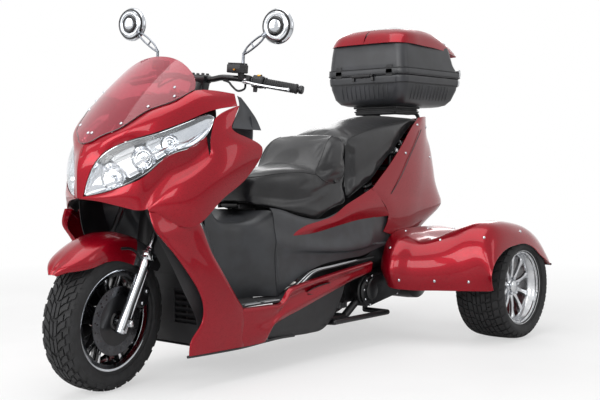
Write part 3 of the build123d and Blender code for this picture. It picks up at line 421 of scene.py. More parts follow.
def on_points(name, spots, head, size, material, body, matrix=None):
    """Small heads on points: each spot is (point, direction it faces)."""
    points = np.array([p for p, _ in spots], float)
    facings = np.array([d for _, d in spots], float)
    if matrix is not None:
        facings = moved(points + facings, matrix) - moved(points, matrix)
        points = moved(points, matrix)
    mesh = bpy.data.meshes.new(name + " points")
    mesh.from_pydata((points * MM).tolist(), [], [])
    facing_data = mesh.attributes.new("facing", "FLOAT_VECTOR", "POINT").data
    facing_data.foreach_set("vector", facings.astype(np.float32).ravel())
    head_object = new_object(name + " head", mesh_of(name + " head", [head]))
    values = {"Shape": head_object, "Size": float(size), "Finish": material}
    made = smooth_shaded(grown(new_object(name + " points", mesh), ON_POINTS, values))
    bpy.data.objects.remove(head_object)
    made.name = name
    finish_piece(name, made, material, body)
    print(name, len(points), "heads")


# a domed rivet or screw head 10 mm across, which faces +Z
DOME = lathe([(-1.0, 0.0), (-1.0, 5.0), (0.6, 4.9), (1.9, 3.9), (2.6, 2.2), (2.8, 0.0)], ORIGIN, UPWARDS, 16)
print("three repeating trees:", AROUND.name, "|", IN_ROW.name, "|", ON_POINTS.name)

# %% [markdown]
# ## Finishes
#
# Each finish starts from what the real one is and how its surface was made. A pattern's scale is a real size in
# millimetres, read from Object coordinates, which are metres here, so a 2 mm grain is a noise of scale 1/0.002.
# The finest real grains would not show in a render of the whole machine, so some grains are drawn coarser than
# they are, and say so.


# %% Colours and a start for each finish
def colour(code):
    """Linear colour from an sRGB hex code."""
    parts = [int(code[k:k + 2], 16) / 255 for k in (1, 3, 5)]
    return (*[c / 12.92 if c <= 0.04045 else ((c + 0.055) / 1.055) ** 2.4 for c in parts], 1.0)


def per_mm(size):
    """Noise scale whose features are about size millimetres across."""
    return 1.0 / (size * MM)


def new_finish(name, shader="ShaderNodeBsdfPrincipled", inputs=None):
    """An empty material with one shader joined to its output."""
    material = bpy.data.materials.new(name)
    material.use_nodes = True
    tree = material.node_tree
    tree.nodes.clear()
    output = add(tree, "ShaderNodeOutputMaterial")
    made = add(tree, shader, None, inputs)
    tree.links.new(made.outputs[0], output.inputs["Surface"])
    place = add(tree, "ShaderNodeTexCoord").outputs["Object"]
    return material, tree, made, place


def mottled(tree, place, size, dark, light, low=0.35, high=0.65):
    """Colour that drifts between two shades over patches of about size millimetres."""
    noise = add(tree, "ShaderNodeTexNoise", None, {"Vector": place, "Scale": per_mm(size), "Detail": 3.0})
    ramp = add(tree, "ShaderNodeValToRGB", None, {0: noise.outputs[0]})
    for stop, position, code in zip(ramp.color_ramp.elements, (low, high), (dark, light)):
        stop.position, stop.color = position, colour(code)
    return ramp.outputs[0]


def spread(tree, value, low, high):
    """A 0 to 1 value brought between low and high."""
    return add(tree, "ShaderNodeMapRange", None, {0: value, 3: low, 4: high}).outputs[0]


def grain(tree, place, size, depth, kind="ShaderNodeTexNoise", strength=1.0):
    """Bump from a pattern of about size millimetres across and depth millimetres deep."""
    pattern = add(tree, kind, None, {"Vector": place, "Scale": per_mm(size)})
    return add(tree, "ShaderNodeBump", None,
               {"Height": pattern.outputs[0], "Distance": depth * MM, "Strength": strength}).outputs[0]


def moulded(name, dark, light, rough, grain_mm, depth, patch=60, metallic=0.0, coat=0.0, kind="ShaderNodeTexNoise"):
    """A finish with drifting colour and roughness and a fine grain, for plastics, rubber and cast metal."""
    material, tree, shader, place = new_finish(name, inputs={"Metallic": metallic, "Coat Weight": coat,
                                                             "Coat Roughness": 0.08})
    cloud = add(tree, "ShaderNodeTexNoise", None, {"Vector": place, "Scale": per_mm(patch * 0.7), "Detail": 4.0})
    links = tree.links
    links.new(mottled(tree, place, patch, dark, light), shader.inputs["Base Color"])
    links.new(spread(tree, cloud.outputs[0], rough - 0.07, rough + 0.09), shader.inputs["Roughness"])
    links.new(grain(tree, place, grain_mm, depth, kind), shader.inputs["Normal"])
    return material


# %% [markdown]
# ### Painted panels
#
# The body is ABS under a candy coat: metallic base, tinted layer, clear lacquer. The eye sees a deep crimson
# that goes bright where it faces the light and nearly brown-black where it turns away, tiny sparks of flake,
# and one sharp reflection on top. A Principled shader does it with a part-metallic base and a full clear coat;
# the flake is a fine Voronoi pattern that changes the base's brightness from cell to cell. Real flake is
# 0.05 mm; it is drawn at 1.2 mm, or it would not show.

# %% Candy red paint
RED_PAINT, tree, shader, place = new_finish("candy_red_lacquer", inputs={
    "Metallic": 0.5, "Roughness": 0.30, "Coat Weight": 1.0, "Coat Roughness": 0.03, "Coat IOR": 1.32,
    "Specular IOR Level": 0.1})
flake = add(tree, "ShaderNodeTexVoronoi", None, {"Vector": place, "Scale": per_mm(1.2)})
sparkle = add(tree, "ShaderNodeSeparateColor", None, {0: flake.outputs["Color"]})
drift = add(tree, "ShaderNodeTexNoise", None, {"Vector": place, "Scale": per_mm(260), "Detail": 2.0})
DEEP_RED, CLEAR_RED, FLAKE_RED = "#7E0014", "#920218", "#C8122C"
deep = add(tree, "ShaderNodeMix", {"data_type": "RGBA"}, {0: drift.outputs[0], 6: colour(DEEP_RED),
                                                          7: colour(CLEAR_RED)})
lift = add(tree, "ShaderNodeMix", {"data_type": "RGBA"}, {0: spread(tree, sparkle.outputs[0], 0.0, 0.12),
                                                          6: deep.outputs[2], 7: colour(FLAKE_RED)})
tree.links.new(lift.outputs[2], shader.inputs["Base Color"])
tree.links.new(spread(tree, sparkle.outputs[1], 0.26, 0.36), shader.inputs["Roughness"])
peel = grain(tree, place, 9.0, 0.012)
tree.links.new(peel, shader.inputs["Coat Normal"])
print("paint:", RED_PAINT.name, [round(c, 3) for c in colour(DEEP_RED)[:3]])

# %% [markdown]
# ### Plastics, rubber and vinyl
#
# Moulded polypropylene is dull and finely pebbled; ABS is a little glossier; a tyre is carbon-black rubber that
# greys with dust in its grooves; seat vinyl is a pressed leather grain, in cells about 2 mm across, with a soft
# sheen. They share one helper because they differ only in colour, gloss and grain.

# %% Plastics, rubber and vinyl
BLACK_PLASTIC = moulded("black_polypropylene", "#141416", "#1C1C1F", 0.52, 1.6, 0.10)
GREY_PLASTIC = moulded("charcoal_abs", "#2A2B2E", "#34363A", 0.42, 1.4, 0.07)
GLOSS_BLACK = moulded("gloss_black_abs", "#0B0B0D", "#121214", 0.22, 6.0, 0.01, coat=0.5)
BOX_PLASTIC = moulded("graphite_abs", "#26272A", "#313236", 0.36, 1.8, 0.06, patch=90)
TYRE_RUBBER = moulded("tyre_rubber", "#121213", "#1E1E20", 0.72, 2.2, 0.12, patch=30)
GRIP_RUBBER = moulded("grip_rubber", "#101012", "#19191B", 0.66, 1.8, 0.15, kind="ShaderNodeTexVoronoi")
MAT_RUBBER = moulded("ribbed_mat_rubber", "#1A1A1C", "#242427", 0.62, 2.0, 0.12)

SEAT_VINYL, tree, shader, place = new_finish("pressed_grain_vinyl", inputs={"Sheen Weight": 0.12,
                                                                            "Sheen Roughness": 0.4})
cells = add(tree, "ShaderNodeTexVoronoi", {"feature": "SMOOTH_F1"}, {"Vector": place, "Scale": per_mm(2.6)})
creases = add(tree, "ShaderNodeTexNoise", None, {"Vector": place, "Scale": per_mm(14), "Detail": 5.0})
height = add(tree, "ShaderNodeMath", {"operation": "MULTIPLY_ADD"},
             {0: creases.outputs[0], 1: 0.35, 2: cells.outputs[0]})
hide = add(tree, "ShaderNodeBump", None, {"Height": height.outputs[0], "Distance": 0.22 * MM, "Strength": 0.8})
tree.links.new(hide.outputs[0], shader.inputs["Normal"])
tree.links.new(mottled(tree, place, 45, "#131315", "#1C1C1F"), shader.inputs["Base Color"])
tree.links.new(spread(tree, creases.outputs[0], 0.24, 0.40), shader.inputs["Roughness"])

SEAT_PIPING = moulded("seat_piping_vinyl", "#0C0C0E", "#141416", 0.42, 1.2, 0.05)

# %% [markdown]
# ### Metals
#
# Chrome and polished aluminium are mirrors with a different tint and softness. Brake discs are ground in
# circles, so their bump is a ring wave round the axle. Cast metal keeps the sand's grain, and painted tube is
# satin. A metal keeps the default IOR, because its colour does that work.

# %% Metals
CHROME = moulded("chrome_plate", "#B4B7BC", "#CDD0D4", 0.10, 40.0, 0.01, patch=120, metallic=1.0)
STEM_CHROME = moulded("smoked_chrome_stem", "#6C6F75", "#84878D", 0.16, 20.0, 0.01, patch=60, metallic=1.0)
POLISHED = moulded("polished_aluminium", "#C4C6C9", "#DADBDD", 0.20, 2.0, 0.015, patch=40, metallic=1.0)
CAST = moulded("cast_aluminium", "#77787A", "#8D8E90", 0.50, 2.2, 0.15, patch=25, metallic=0.85)
SATIN_BLACK = moulded("satin_black_steel", "#111113", "#1B1B1E", 0.36, 3.0, 0.03, metallic=0.3, coat=0.2)
RIM_BLACK = moulded("gloss_black_wheel_enamel", "#08080A", "#101013", 0.24, 5.0, 0.015, metallic=0.3, coat=0.6)
MUFFLER_STEEL = moulded("brushed_muffler_steel", "#85837F", "#A09E9A", 0.30, 1.5, 0.04, patch=35, metallic=1.0)
BRASS = moulded("lacquered_brass", "#B88A35", "#D0A24A", 0.25, 2.0, 0.02, metallic=1.0)
REFLECTOR = moulded("aluminised_reflector", "#DCDEE2", "#F0F1F3", 0.07, 30.0, 0.01, patch=90, metallic=1.0)

DISC_STEEL, tree, shader, place = new_finish("ground_disc_steel", inputs={"Metallic": 1.0})
centred = add(tree, "ShaderNodeMapping", None, {"Vector": place})
centred.inputs["Location"].default_value = tuple(-moved(FRONT_AXLE, STEER_TURN) * MM)
rings = add(tree, "ShaderNodeTexWave", {"wave_type": "RINGS", "rings_direction": "X"},
            {"Vector": centred.outputs[0], "Scale": 400.0, "Distortion": 0.6, "Detail": 1.0})
cut = add(tree, "ShaderNodeBump", None, {"Height": rings.outputs[1], "Distance": 0.05 * MM, "Strength": 0.5})
tree.links.new(cut.outputs[0], shader.inputs["Normal"])
tree.links.new(mottled(tree, place, 30, "#4A4B4E", "#5C5D60"), shader.inputs["Base Color"])
tree.links.new(spread(tree, rings.outputs[1], 0.22, 0.38), shader.inputs["Roughness"])

# %% [markdown]
# ### Clear parts
#
# The screen is acrylic tinted smoke-red, dark at its lower edge where the paint's glow comes through. The lamp
# glass is clear polycarbonate. Both are thin, so instead of bending light they are a blend of a see-through
# shader and a gloss one; a true glass solid would be darker and noisier for no gain.


# %% Clear parts
def clear_sheet(name, tint, gloss, rough, edge, ripple, least=0.06):
    """Thin clear plastic: tinted see-through that turns to gloss at grazing angles."""
    material, tree, mix, place = new_finish(name, "ShaderNodeMixShader")
    through_it = add(tree, "ShaderNodeBsdfTransparent")
    tree.links.new(mottled(tree, place, 300, tint[0], tint[1]), through_it.inputs["Color"])
    wave = grain(tree, place, ripple, 0.05)
    shine = add(tree, "ShaderNodeBsdfPrincipled", None, {"Base Color": colour(gloss), "Roughness": rough,
                                                         "Coat Weight": 1.0, "Coat Roughness": 0.03, "Normal": wave})
    rim = add(tree, "ShaderNodeLayerWeight", None, {"Blend": edge})
    tree.links.new(spread(tree, rim.outputs["Facing"], least, 0.85), mix.inputs[0])
    tree.links.new(through_it.outputs[0], mix.inputs[1])
    tree.links.new(shine.outputs[0], mix.inputs[2])
    return material


SCREEN_TINT = clear_sheet("smoked_red_acrylic", ("#D88C98", "#E4A0AA"), "#B04454", 0.10, 0.32, 200, 0.24)
LAMP_GLASS = clear_sheet("clear_polycarbonate", ("#F4F6F8", "#FFFFFF"), "#C8CCD0", 0.05, 0.22, 60)
RED_LENS = clear_sheet("red_lens_acrylic", ("#C01828", "#D02434"), "#8E0E1C", 0.08, 0.35, 20)
SILVER_ABS = moulded("silver_painted_abs", "#B4B6B8", "#C6C8CA", 0.30, 1.4, 0.02, metallic=0.7, coat=0.3)
MIRROR_GLASS = moulded("mirror_glass", "#C9CDD2", "#D4D8DC", 0.03, 200.0, 0.005, patch=150, metallic=1.0)
DIAL_FACE = moulded("dial_card", "#0E0F12", "#14161A", 0.6, 3.0, 0.01)
PLATE_WHITE = moulded("white_number_marks", "#D8D8D4", "#E6E6E2", 0.5, 3.0, 0.01)
print(len(bpy.data.materials), "materials so far")

# %% [markdown]
# ### Finishes for the CAD nodes that stay
#
# Some nodes already have their real shape, such as the frame tubes, the axle and the box bracket. They keep
# their mesh and only change material. Every other node also gets one, in case its piece leaves a gap.

# %% Give every CAD node its finish
BY_SLOT = {
    "tyre": TYRE_RUBBER, "black_rim": RIM_BLACK, "polished_rim": POLISHED, "brake_steel": DISC_STEEL,
    "caliper_metal": SATIN_BLACK, "chrome_fork": CHROME, "black_steel": SATIN_BLACK, "grip_rubber": GRIP_RUBBER,
    "black_plastic": BLACK_PLASTIC, "grey_plastic": GREY_PLASTIC, "chrome_mirror": CHROME, "red_paint": RED_PAINT,
    "lens": LAMP_GLASS, "smoked_screen": SCREEN_TINT, "frame_steel": SATIN_BLACK, "rubber_mat": MAT_RUBBER,
    "cast_aluminium": CAST, "shock_metal": SATIN_BLACK, "exhaust_steel": MUFFLER_STEEL, "red_lens": RED_LENS,
    "seat_vinyl": SEAT_VINYL, "box_plastic": BOX_PLASTIC, "box_lid": BOX_PLASTIC,
}
for part in frame["record"]["subparts"]:
    mesh = frame["nodes"][part["node"]].data
    mesh.materials.clear()
    mesh.materials.append(BY_SLOT[part["material_slot"]])

# %% [markdown]
# ## Front cowl
#
# The cowl is five painted mouldings: a nose with brows over the lamps, a hollow scoop under each lamp and a
# flank on each side, whose front edge stands proud of the scoop. Each is a skin over a few lines. A line's k-th
# point faces the next line's k-th point, so the lines are typed in pairs. The middle lines are pushed out or in,
# which gives the crown of a panel or the hollow of the scoop.


# %% Lines measured from an axle, and the rolled sheet of the screen
def front_line(points):
    """Line of (x, distance behind the front axle, z) points."""
    return np.array([(x, F(d), z) for x, d, z in points], float)


def rear_line(points):
    """Line of (x, distance behind the rear axle, z) points."""
    return np.array([(x, R(d), z) for x, d, z in points], float)


def between(a, b, share, push, direction):
    """Line part of the way from a to b, pushed by amounts along a direction."""
    direction = np.array(direction, float) / np.linalg.norm(direction)
    return a + (b - a) * share + np.array(push, float)[:, None] * direction


SLOPE, ROLL_R, CROWN, SCREEN_MID = math.radians(43.0), 417.0, 16.0, 230.0
SCREEN_FRONT = (-68, 838)  # behind the front axle, and high, of the middle of its lower edge


def on_screen(u, v, lift=0.0):
    """Point of the rolled screen from its flat place: u across, v up the slope, lift off its face."""
    rolled = ROLL_R - math.sqrt(max(ROLL_R ** 2 - u ** 2, 0))
    sag = rolled + CROWN * ((v - SCREEN_MID) / SCREEN_MID) ** 2 - CROWN
    up_slope = np.array((0, math.cos(SLOPE), math.sin(SLOPE)))
    out = np.array((0, -math.sin(SLOPE), math.cos(SLOPE)))
    return np.array((u, F(SCREEN_FRONT[0]), SCREEN_FRONT[1])) + v * up_slope + (lift - sag) * out


SCREEN_LOW = [(0, -10), (24, -6), (64, 28), (114, 70), (162, 166), (212, 238), (236, 310)]
SCREEN_TOP = [(0, 436), (28, 435), (78, 430), (124, 418), (170, 396), (214, 362), (237, 322)]


# %% Nose, scoops and flanks
SCREEN_FOOT = [on_screen(u, v, -2.5) for u, v in ((64, 30), (114, 72), (162, 168), (212, 240), (238, 316))]
NOSE_IN = np.vstack([front_line([(0, -104, 650), (0, -105, 702), (0, -99, 768), (0, -76, 824)]), SCREEN_FOOT,
                     front_line([(292, 340, 1000)])])
NOSE_OUT = front_line([(22, -98, 655), (34, -88, 715), (50, -76, 760), (64, -64, 785), (82, -52, 805),
                       (139, -8, 838), (205, 62, 867), (251, 150, 903), (288, 226, 938), (307, 338, 958)])
NOSE_PUSH = [0, 1, 3, 6, 9, 13, 15, 16, 14, 4]
nose_mid = between(NOSE_IN, NOSE_OUT, 0.5, NOSE_PUSH, (0.25, -0.62, 0.75))
nose_grid = skin([NOSE_IN, nose_mid, NOSE_OUT], 72, 14)
nose = shell(nose_grid, PANEL_WALL, (0.2, -0.7, 0.7))
LAMP_LOW = front_line([(26, -97, 657), (94, -64, 670), (158, -26, 695), (188, 0, 712), (207, 18, 729),
                       (229, 48, 760), (245, 75, 789), (272, 126, 806), (297, 200, 852)])
CHIN = front_line([(8, -104, 649), (76, -75, 641), (135, -41, 626), (186, -2, 612), (207, 19, 618), (226, 37, 644),
                   (261, 87, 694), (289, 150, 732), (305, 206, 786)])
SCOOP_PUSH = [2, 5, 6, 2, -7, -17, -24, -22, -7]
scoop_mid = between(LAMP_LOW, CHIN, 0.55, SCOOP_PUSH, (0.75, -0.62, 0.1))
scoop_grid = skin([LAMP_LOW, scoop_mid, CHIN], 56, 12)
scoop = shell(scoop_grid, PANEL_WALL, (0.6, -0.8, 0.0))
piece("nose", both(nose) + both(scoop), RED_PAINT, "chassis", ["nose_cowl"],
      bevel=0.8)

FLANK_TOP = front_line([(208, 16, 617), (229, 34, 647), (265, 82, 699), (294, 145, 739), (311, 200, 790),
                        (309, 206, 838), (301, 222, 874), (295, 246, 916), (306, 334, 957)])
FLANK_LOW = front_line([(212, 27, 592), (240, 69, 572), (286, 152, 556), (322, 252, 646), (339, 352, 716),
                        (343, 424, 815), (318, 300, 880), (313, 318, 915), (310, 345, 959)])
roll = between(FLANK_TOP, FLANK_LOW, 0.10, [4, 9, 12, 13, 12, 6, 2, 2, 1], (0.9, -0.42, 0.05))
belly_line = between(FLANK_TOP, FLANK_LOW, 0.5, [6, 15, 26, 29, 25, 15, 4, 3, 2], (0.9, -0.4, 0.0))
flank_grid = skin([FLANK_TOP, roll, belly_line, FLANK_LOW], 80, 22)
flank = shell(flank_grid, PANEL_WALL, (0.9, -0.3, 0.1))
piece("left_flank", [flank], RED_PAINT, "chassis", ["left_front_cowl"], bevel=1.2)
piece("right_flank", [mirrored(flank)], RED_PAINT, "chassis", ["right_front_cowl"], bevel=1.2)

EAR_FRONT = front_line([(301, 346, 994), (309, 347, 958), (312, 322, 915), (317, 302, 882)])
EAR_BACK = front_line([(303, 360, 988), (317, 388, 950), (330, 408, 915), (338, 424, 876)])
ear_mid = between(EAR_FRONT, EAR_BACK, 0.5, [-2, -5, -6, -3], ACROSS)
ear = shell(skin([EAR_FRONT, ear_mid, EAR_BACK], 30, 10), LINER_WALL, (1, 0.2, 0))
piece("cowl_ears", both(ear), GREY_PLASTIC, "chassis", bevel=0.8)

# a black liner closes the cowl behind the chin, ahead of the sweep of the fork
LINER_BACK = front_line([(0, 84, 706), (60, 84, 702), (105, 92, 690), (150, 110, 676), (196, 130, 664),
                         (222, 160, 650)])
LINER_FRONT = front_line([(0, -98, 653), (70, -70, 645), (128, -36, 630), (180, 2, 617), (205, 26, 612),
                          (230, 70, 590)])
liner = shell(skin([LINER_FRONT, between(LINER_FRONT, LINER_BACK, 0.5, [14] * 6, UPWARDS), LINER_BACK], 40, 10),
              3.0, (0, -0.3, -1))
piece("chin_liner", both(liner), BLACK_PLASTIC, "chassis", bevel=0.6)
print("cowl panels:", [name for name in MADE])

# %% [markdown]
# ## Headlamps
#
# A lamp unit is a clear cover that follows the cowl, a bright bucket behind it, round reflectors with bulbs,
# and a dark bezel along the top. The cover is a shell of its own, so the inside shows through it. The bowls are
# turned shapes; a lathe profile is the quickest way to a true parabola.

# %% Headlamp covers, buckets and reflectors
LAMP_TOP = front_line([(29, -95, 664), (36, -86, 716), (62, -68, 778), (101, -38, 817), (150, 5, 841),
                       (208, 66, 864), (250, 150, 899), (281, 222, 926), (289, 244, 918)])
LAMP_BOTTOM = front_line([(33, -94, 661), (94, -63, 673), (157, -24, 698), (205, 19, 732), (231, 54, 768),
                          (256, 94, 797), (283, 156, 818), (295, 202, 858), (293, 230, 895)])
lamp_mid = between(LAMP_TOP, LAMP_BOTTOM, 0.5, [1, 8, 11, 11, 9, 8, 6, 3, 1], (0.55, -0.8, 0.2))
cover = shell(skin([LAMP_TOP, lamp_mid, LAMP_BOTTOM], 60, 14), 2.2, (0.5, -0.8, 0.1))
piece("lamp_covers", both(cover), LAMP_GLASS, "chassis", ["headlights"], bevel=0.5)

BUCKET_EDGE = 0.03  # share of the lamp's height between its rim and its bucket
inner_top = LAMP_TOP + (LAMP_BOTTOM - LAMP_TOP) * BUCKET_EDGE
inner_low = LAMP_BOTTOM + (LAMP_TOP - LAMP_BOTTOM) * BUCKET_EDGE
depth = np.array([2, 26, 40, 42, 36, 30, 24, 14, 3], float)
back_line, near_top, near_low = (between(inner_top, inner_low, share, -depth * deep_by, (0.45, -0.88, 0.15))
                                 for share, deep_by in ((0.45, 1.0), (0.08, 0.75), (0.86, 0.8)))
bucket = shell(skin([inner_top, near_top, back_line, near_low, inner_low], 44, 18), 1.5, (0.5, -0.8, 0.1))
piece("lamp_buckets", both(bucket), REFLECTOR, "chassis")

CUP = [(-0.62, 0.10), (-0.60, 0.30), (-0.50, 0.55), (-0.30, 0.78), (0.0, 0.97), (0.06, 1.02), (0.02, 1.06),
       (-0.10, 1.04), (-0.40, 0.80), (-0.62, 0.45), (-0.70, 0.10)]
CUP_RINGS = [[(-0.5 + rib * 0.35, rib), (-0.42 + rib * 0.35, rib + 0.01), (-0.42 + rib * 0.35, rib + 0.05),
              (-0.5 + rib * 0.35, rib + 0.05), (-0.5 + rib * 0.35, rib)] for rib in (0.42, 0.66)]
bowls, bulbs = [], []
for centre, aim, radius in (((96, -34, 722), (0.30, -0.95, 0.05), 44), ((170, 30, 782), (0.42, -0.9, 0.08), 38),
                            ((228, 96, 832), (0.55, -0.82, 0.1), 30)):
    place = (centre[0], F(centre[1]), centre[2])
    bowls += [lathe([(s * radius, r * radius) for s, r in ring], place, aim, 40) for ring in (CUP, *CUP_RINGS)]
    bulbs.append(lathe([(-0.6 * radius, 0.0), (-0.6 * radius, 7), (-0.15 * radius, 7.5), (0.05 * radius, 5.5),
                        (0.12 * radius, 0.0)], place, aim, 20, 16))
piece("lamp_reflectors", both(*bowls), REFLECTOR, "chassis")
piece("lamp_bulbs", both(*bulbs), MIRROR_GLASS, "chassis")
brow_top, brow_low, vane_top, vane_low = (
    between(LAMP_TOP, LAMP_BOTTOM, share, [-inside_by] * len(LAMP_TOP), (0.5, -0.86, 0.1))
    for share, inside_by in ((0.02, 4), (0.20, 4), (0.62, 9), (0.70, 16)))
bezel = shell(skin([brow_top[2:], brow_low[2:]], 40, 5), 2.0, (0.5, -0.8, 0.2))
vane = shell(skin([vane_top[3:8], vane_low[3:8]], 30, 4), 2.0, (0.5, -0.8, 0.2))
piece("lamp_bezels", both(bezel), GLOSS_BLACK, "chassis", bevel=0.5)
piece("lamp_vanes", both(vane), REFLECTOR, "chassis", bevel=0.5)
print("lamp reflectors:", len(bowls) * 2, "turned shapes")

# %% [markdown]
# ## Windshield
#
# The screen is one sheet of acrylic bent round the machine and leaning back 43 degrees. It is drawn flat, as an
# outline of (across, up the slope), and then rolled onto a cylinder, as the real sheet is heated and rolled
# over a form. Silver screws with washers hold its lower edge.

# %% Windshield
flat_grid = skin([[(u, v, 0) for u, v in SCREEN_LOW], [(u, v, 0) for u, v in SCREEN_TOP]], 32, 32)
flat_grid = np.concatenate([flat_grid[:, :0:-1] * (-1, 1, 1), flat_grid], axis=1)
screen_grid = np.array([[on_screen(u, v, 2.0) for u, v, _ in row] for row in flat_grid])
piece("windshield_sheet", [shell(screen_grid, LINER_WALL, (0, -0.7, 0.7))], SCREEN_TINT, "chassis",
      ["windshield"], bevel=0.8)
lip = [on_screen(u, v, 2.0) for u, v in SCREEN_LOW]
lip = [p * (-1, 1, 1) for p in lip[:0:-1]] + lip
piece("screen_edge_bead", [tube(lip, 1.4, 80, 8)], GLOSS_BLACK, "chassis")
screw_spots = []
for u, v in ((10, 34), (106, 86), (154, 180), (204, 256), (184, 292)):
    for side in (-1, 1):
        outward = on_screen(u * side, v, 10) - on_screen(u * side, v, 0)
        screw_spots.append((on_screen(u * side, v, 3.4), outward))
on_points("screen_screws", screw_spots, DOME, 1.15, CHROME, "chassis")

# %% [markdown]
# ## Lower body
#
# Behind the front wheel a red leg panel comes down from the flank and runs on as the sill. A black moulding
# closes the belly under it, and a charcoal side panel fills the space between the footboard and the seat. The
# side of the body is nearly flat, so one table of widths by height serves the side panel, the blade and the
# tail.

# %% Leg panels and sills
LEG = [front_line([(206, 34, 604), (232, 30, 544), (240, 66, 500), (246, 106, 456), (249, 148, 404), (250, 202, 334),
                   (250, 224, 280), (250, 218, 230), (246, 178, 174), (242, 176, 124)]),
       front_line([(222, 12, 606), (244, 16, 552), (254, 52, 508), (262, 92, 462), (266, 136, 408), (268, 188, 338),
                   (269, 208, 282), (268, 202, 232), (264, 152, 168), (262, 146, 123)]),
       front_line([(240, 60, 600), (255, 70, 550), (262, 104, 506), (268, 140, 460), (272, 180, 408), (274, 222, 340),
                   (274, 242, 280), (273, 240, 222), (270, 216, 168), (267, 214, 122)]),
       front_line([(258, 116, 590), (264, 138, 546), (268, 164, 506), (271, 194, 460), (274, 236, 408),
                   (275, 280, 344), (275, 310, 280), (275, 320, 222), (272, 304, 168), (268, 302, 121)]),
       front_line([(266, 186, 572), (268, 206, 548), (269, 224, 510), (270, 248, 462), (270, 287, 408),
                   (271, 330, 348), (272, 366, 296), (272, 396, 252), (271, 401, 190), (268, 403, 120)]),
       front_line([(256, 190, 572), (256, 210, 548), (256, 228, 510), (257, 252, 462), (257, 291, 408),
                   (258, 334, 348), (260, 370, 292), (268, 404, 246), (267, 404, 190), (265, 405, 120)])]
leg = shell(skin(LEG, 70, 28), PANEL_WALL, ACROSS)
piece("leg_panel_skins", both(leg), RED_PAINT, "chassis", ["leg_panels"], bevel=1.0)

SILL_TOP = front_line([(258, 394, 256), (258, 450, 254), (258, 540, 252), (258, 603, 253), (258, 653, 297),
                       (258, 712, 311), (256, 834, 325), (252, 960, 338), (248, 1057, 347), (240, 1150, 354),
                       (234, 1196, 357)])
SILL_BROW = front_line([(270.5, 394, 251), (272, 450, 249), (273, 540, 246), (274, 607, 246), (274, 660, 289),
                        (274, 716, 303), (272, 836, 317), (268, 962, 330), (263, 1057, 339), (254, 1150, 347),
                        (246, 1196, 351)])
SILL_LOW = front_line([(267, 394, 119), (268, 460, 119), (267, 520, 124), (266, 556, 168), (265, 627, 194),
                       (264, 710, 213), (260, 847, 246), (256, 962, 272), (252, 1057, 294), (246, 1150, 309),
                       (240, 1196, 317)])
hollow = between(SILL_BROW, SILL_LOW, 0.35, [2, 1, -2, -5, -12, -14, -13, -9, -5, -2, 0], ACROSS)
swell = between(SILL_BROW, SILL_LOW, 0.75, [4, 5, 6, 6, 5, 4, 3, 3, 2, 1, 0], ACROSS)
sill = shell(skin([SILL_TOP, SILL_BROW, hollow, swell, SILL_LOW], 80, 22), PANEL_WALL, (1, 0, 0.1))
piece("sill_skins", both(sill), RED_PAINT, "chassis", ["sills"], bevel=1.0)

SLOT_TOP = front_line([(264, 762, 276), (264, 800, 288), (263, 850, 296), (260, 905, 297)])
SLOT_LOW = front_line([(264, 764, 268), (264, 800, 263), (263, 850, 268), (260, 903, 289)])
slot_mid = between(SLOT_TOP, SLOT_LOW, 0.5, [-9, -13, -12, -6], ACROSS)
vent = shell(skin([SLOT_TOP, slot_mid, SLOT_LOW], 30, 10), 2.0, ACROSS)
COVER_TOP = front_line([(258, 540, 176), (258, 627, 198), (258, 700, 214), (256, 780, 232), (254, 850, 249),
                        (250, 943, 270), (246, 1010, 286)])
COVER_LOW = front_line([(250, 536, 124), (250, 620, 122), (246, 700, 116), (240, 800, 112), (236, 880, 116),
                        (232, 945, 150), (236, 990, 214)])
cover_mid = between(COVER_TOP, COVER_LOW, 0.5, [4, 8, 12, 12, 10, 8, 4], ACROSS)
belly = shell(skin([COVER_TOP, cover_mid, COVER_LOW], 40, 12), LINER_WALL, ACROSS)
lip = tube(front_line([(258, 142, 120), (260, 240, 118), (260, 400, 116), (258, 520, 120), (252, 610, 121),
                       (246, 700, 117)]), 5.0, 40, 10)
piece("belly_covers", both(belly) + both(vent) + both(lip), BLACK_PLASTIC, "chassis",
      bevel=0.8)


# %% Side panels, tunnel and seat pedestal
WIDTHS = np.array([(222, 264), (224, 330), (218, 400), (208, 450), (200, 560), (190, 700), (176, 960)], float)


def on_side(points, out=0.0):
    """Line on the side of the body from (distance behind the rear axle, z), out millimetres proud of it."""
    return np.array([(np.interp(z, WIDTHS[:, 1], WIDTHS[:, 0]) + out, R(d), z) for d, z in points], float)


SIDE_TOP = on_side([(-1132, 596), (-1060, 584), (-960, 556), (-843, 540), (-740, 560), (-640, 594), (-464, 666),
                    (-284, 796), (-110, 918)], -12)
SIDE_FOLD = on_side([(-1130, 470), (-1050, 446), (-950, 432), (-800, 416), (-700, 410), (-600, 414), (-470, 436),
                     (-300, 470), (-90, 560)], 10)
SIDE_LOW = on_side([(-1124, 268), (-1070, 296), (-980, 336), (-860, 364), (-700, 376), (-600, 380), (-480, 404),
                    (-330, 424), (-70, 428)], -8)
upper = between(SIDE_TOP, SIDE_FOLD, 0.15, [9, 10, 10, 9, 9, 9, 8, 6, 4], (1, 0, 0.2))
upper_mid = between(SIDE_TOP, SIDE_FOLD, 0.6, [4, 4, 3, 2, 2, 3, 4, 4, 3], ACROSS)
under_fold = between(SIDE_FOLD, SIDE_LOW, 0.2, [-7, -8, -9, -9, -8, -7, -6, -4, -2], ACROSS)
side_grid = skin([SIDE_TOP, upper, upper_mid, SIDE_FOLD, under_fold, SIDE_LOW], 84, 32)
tuck_in = np.interp(side_grid[..., 1], [R(-700), R(-520), R(-400), R(-160), R(-70)], [300, 212, 192, 170, 152])
side_grid[..., 0] = np.where(side_grid[..., 2] > 424, np.minimum(side_grid[..., 0], tuck_in), side_grid[..., 0])
side = shell(side_grid, PANEL_WALL, ACROSS)
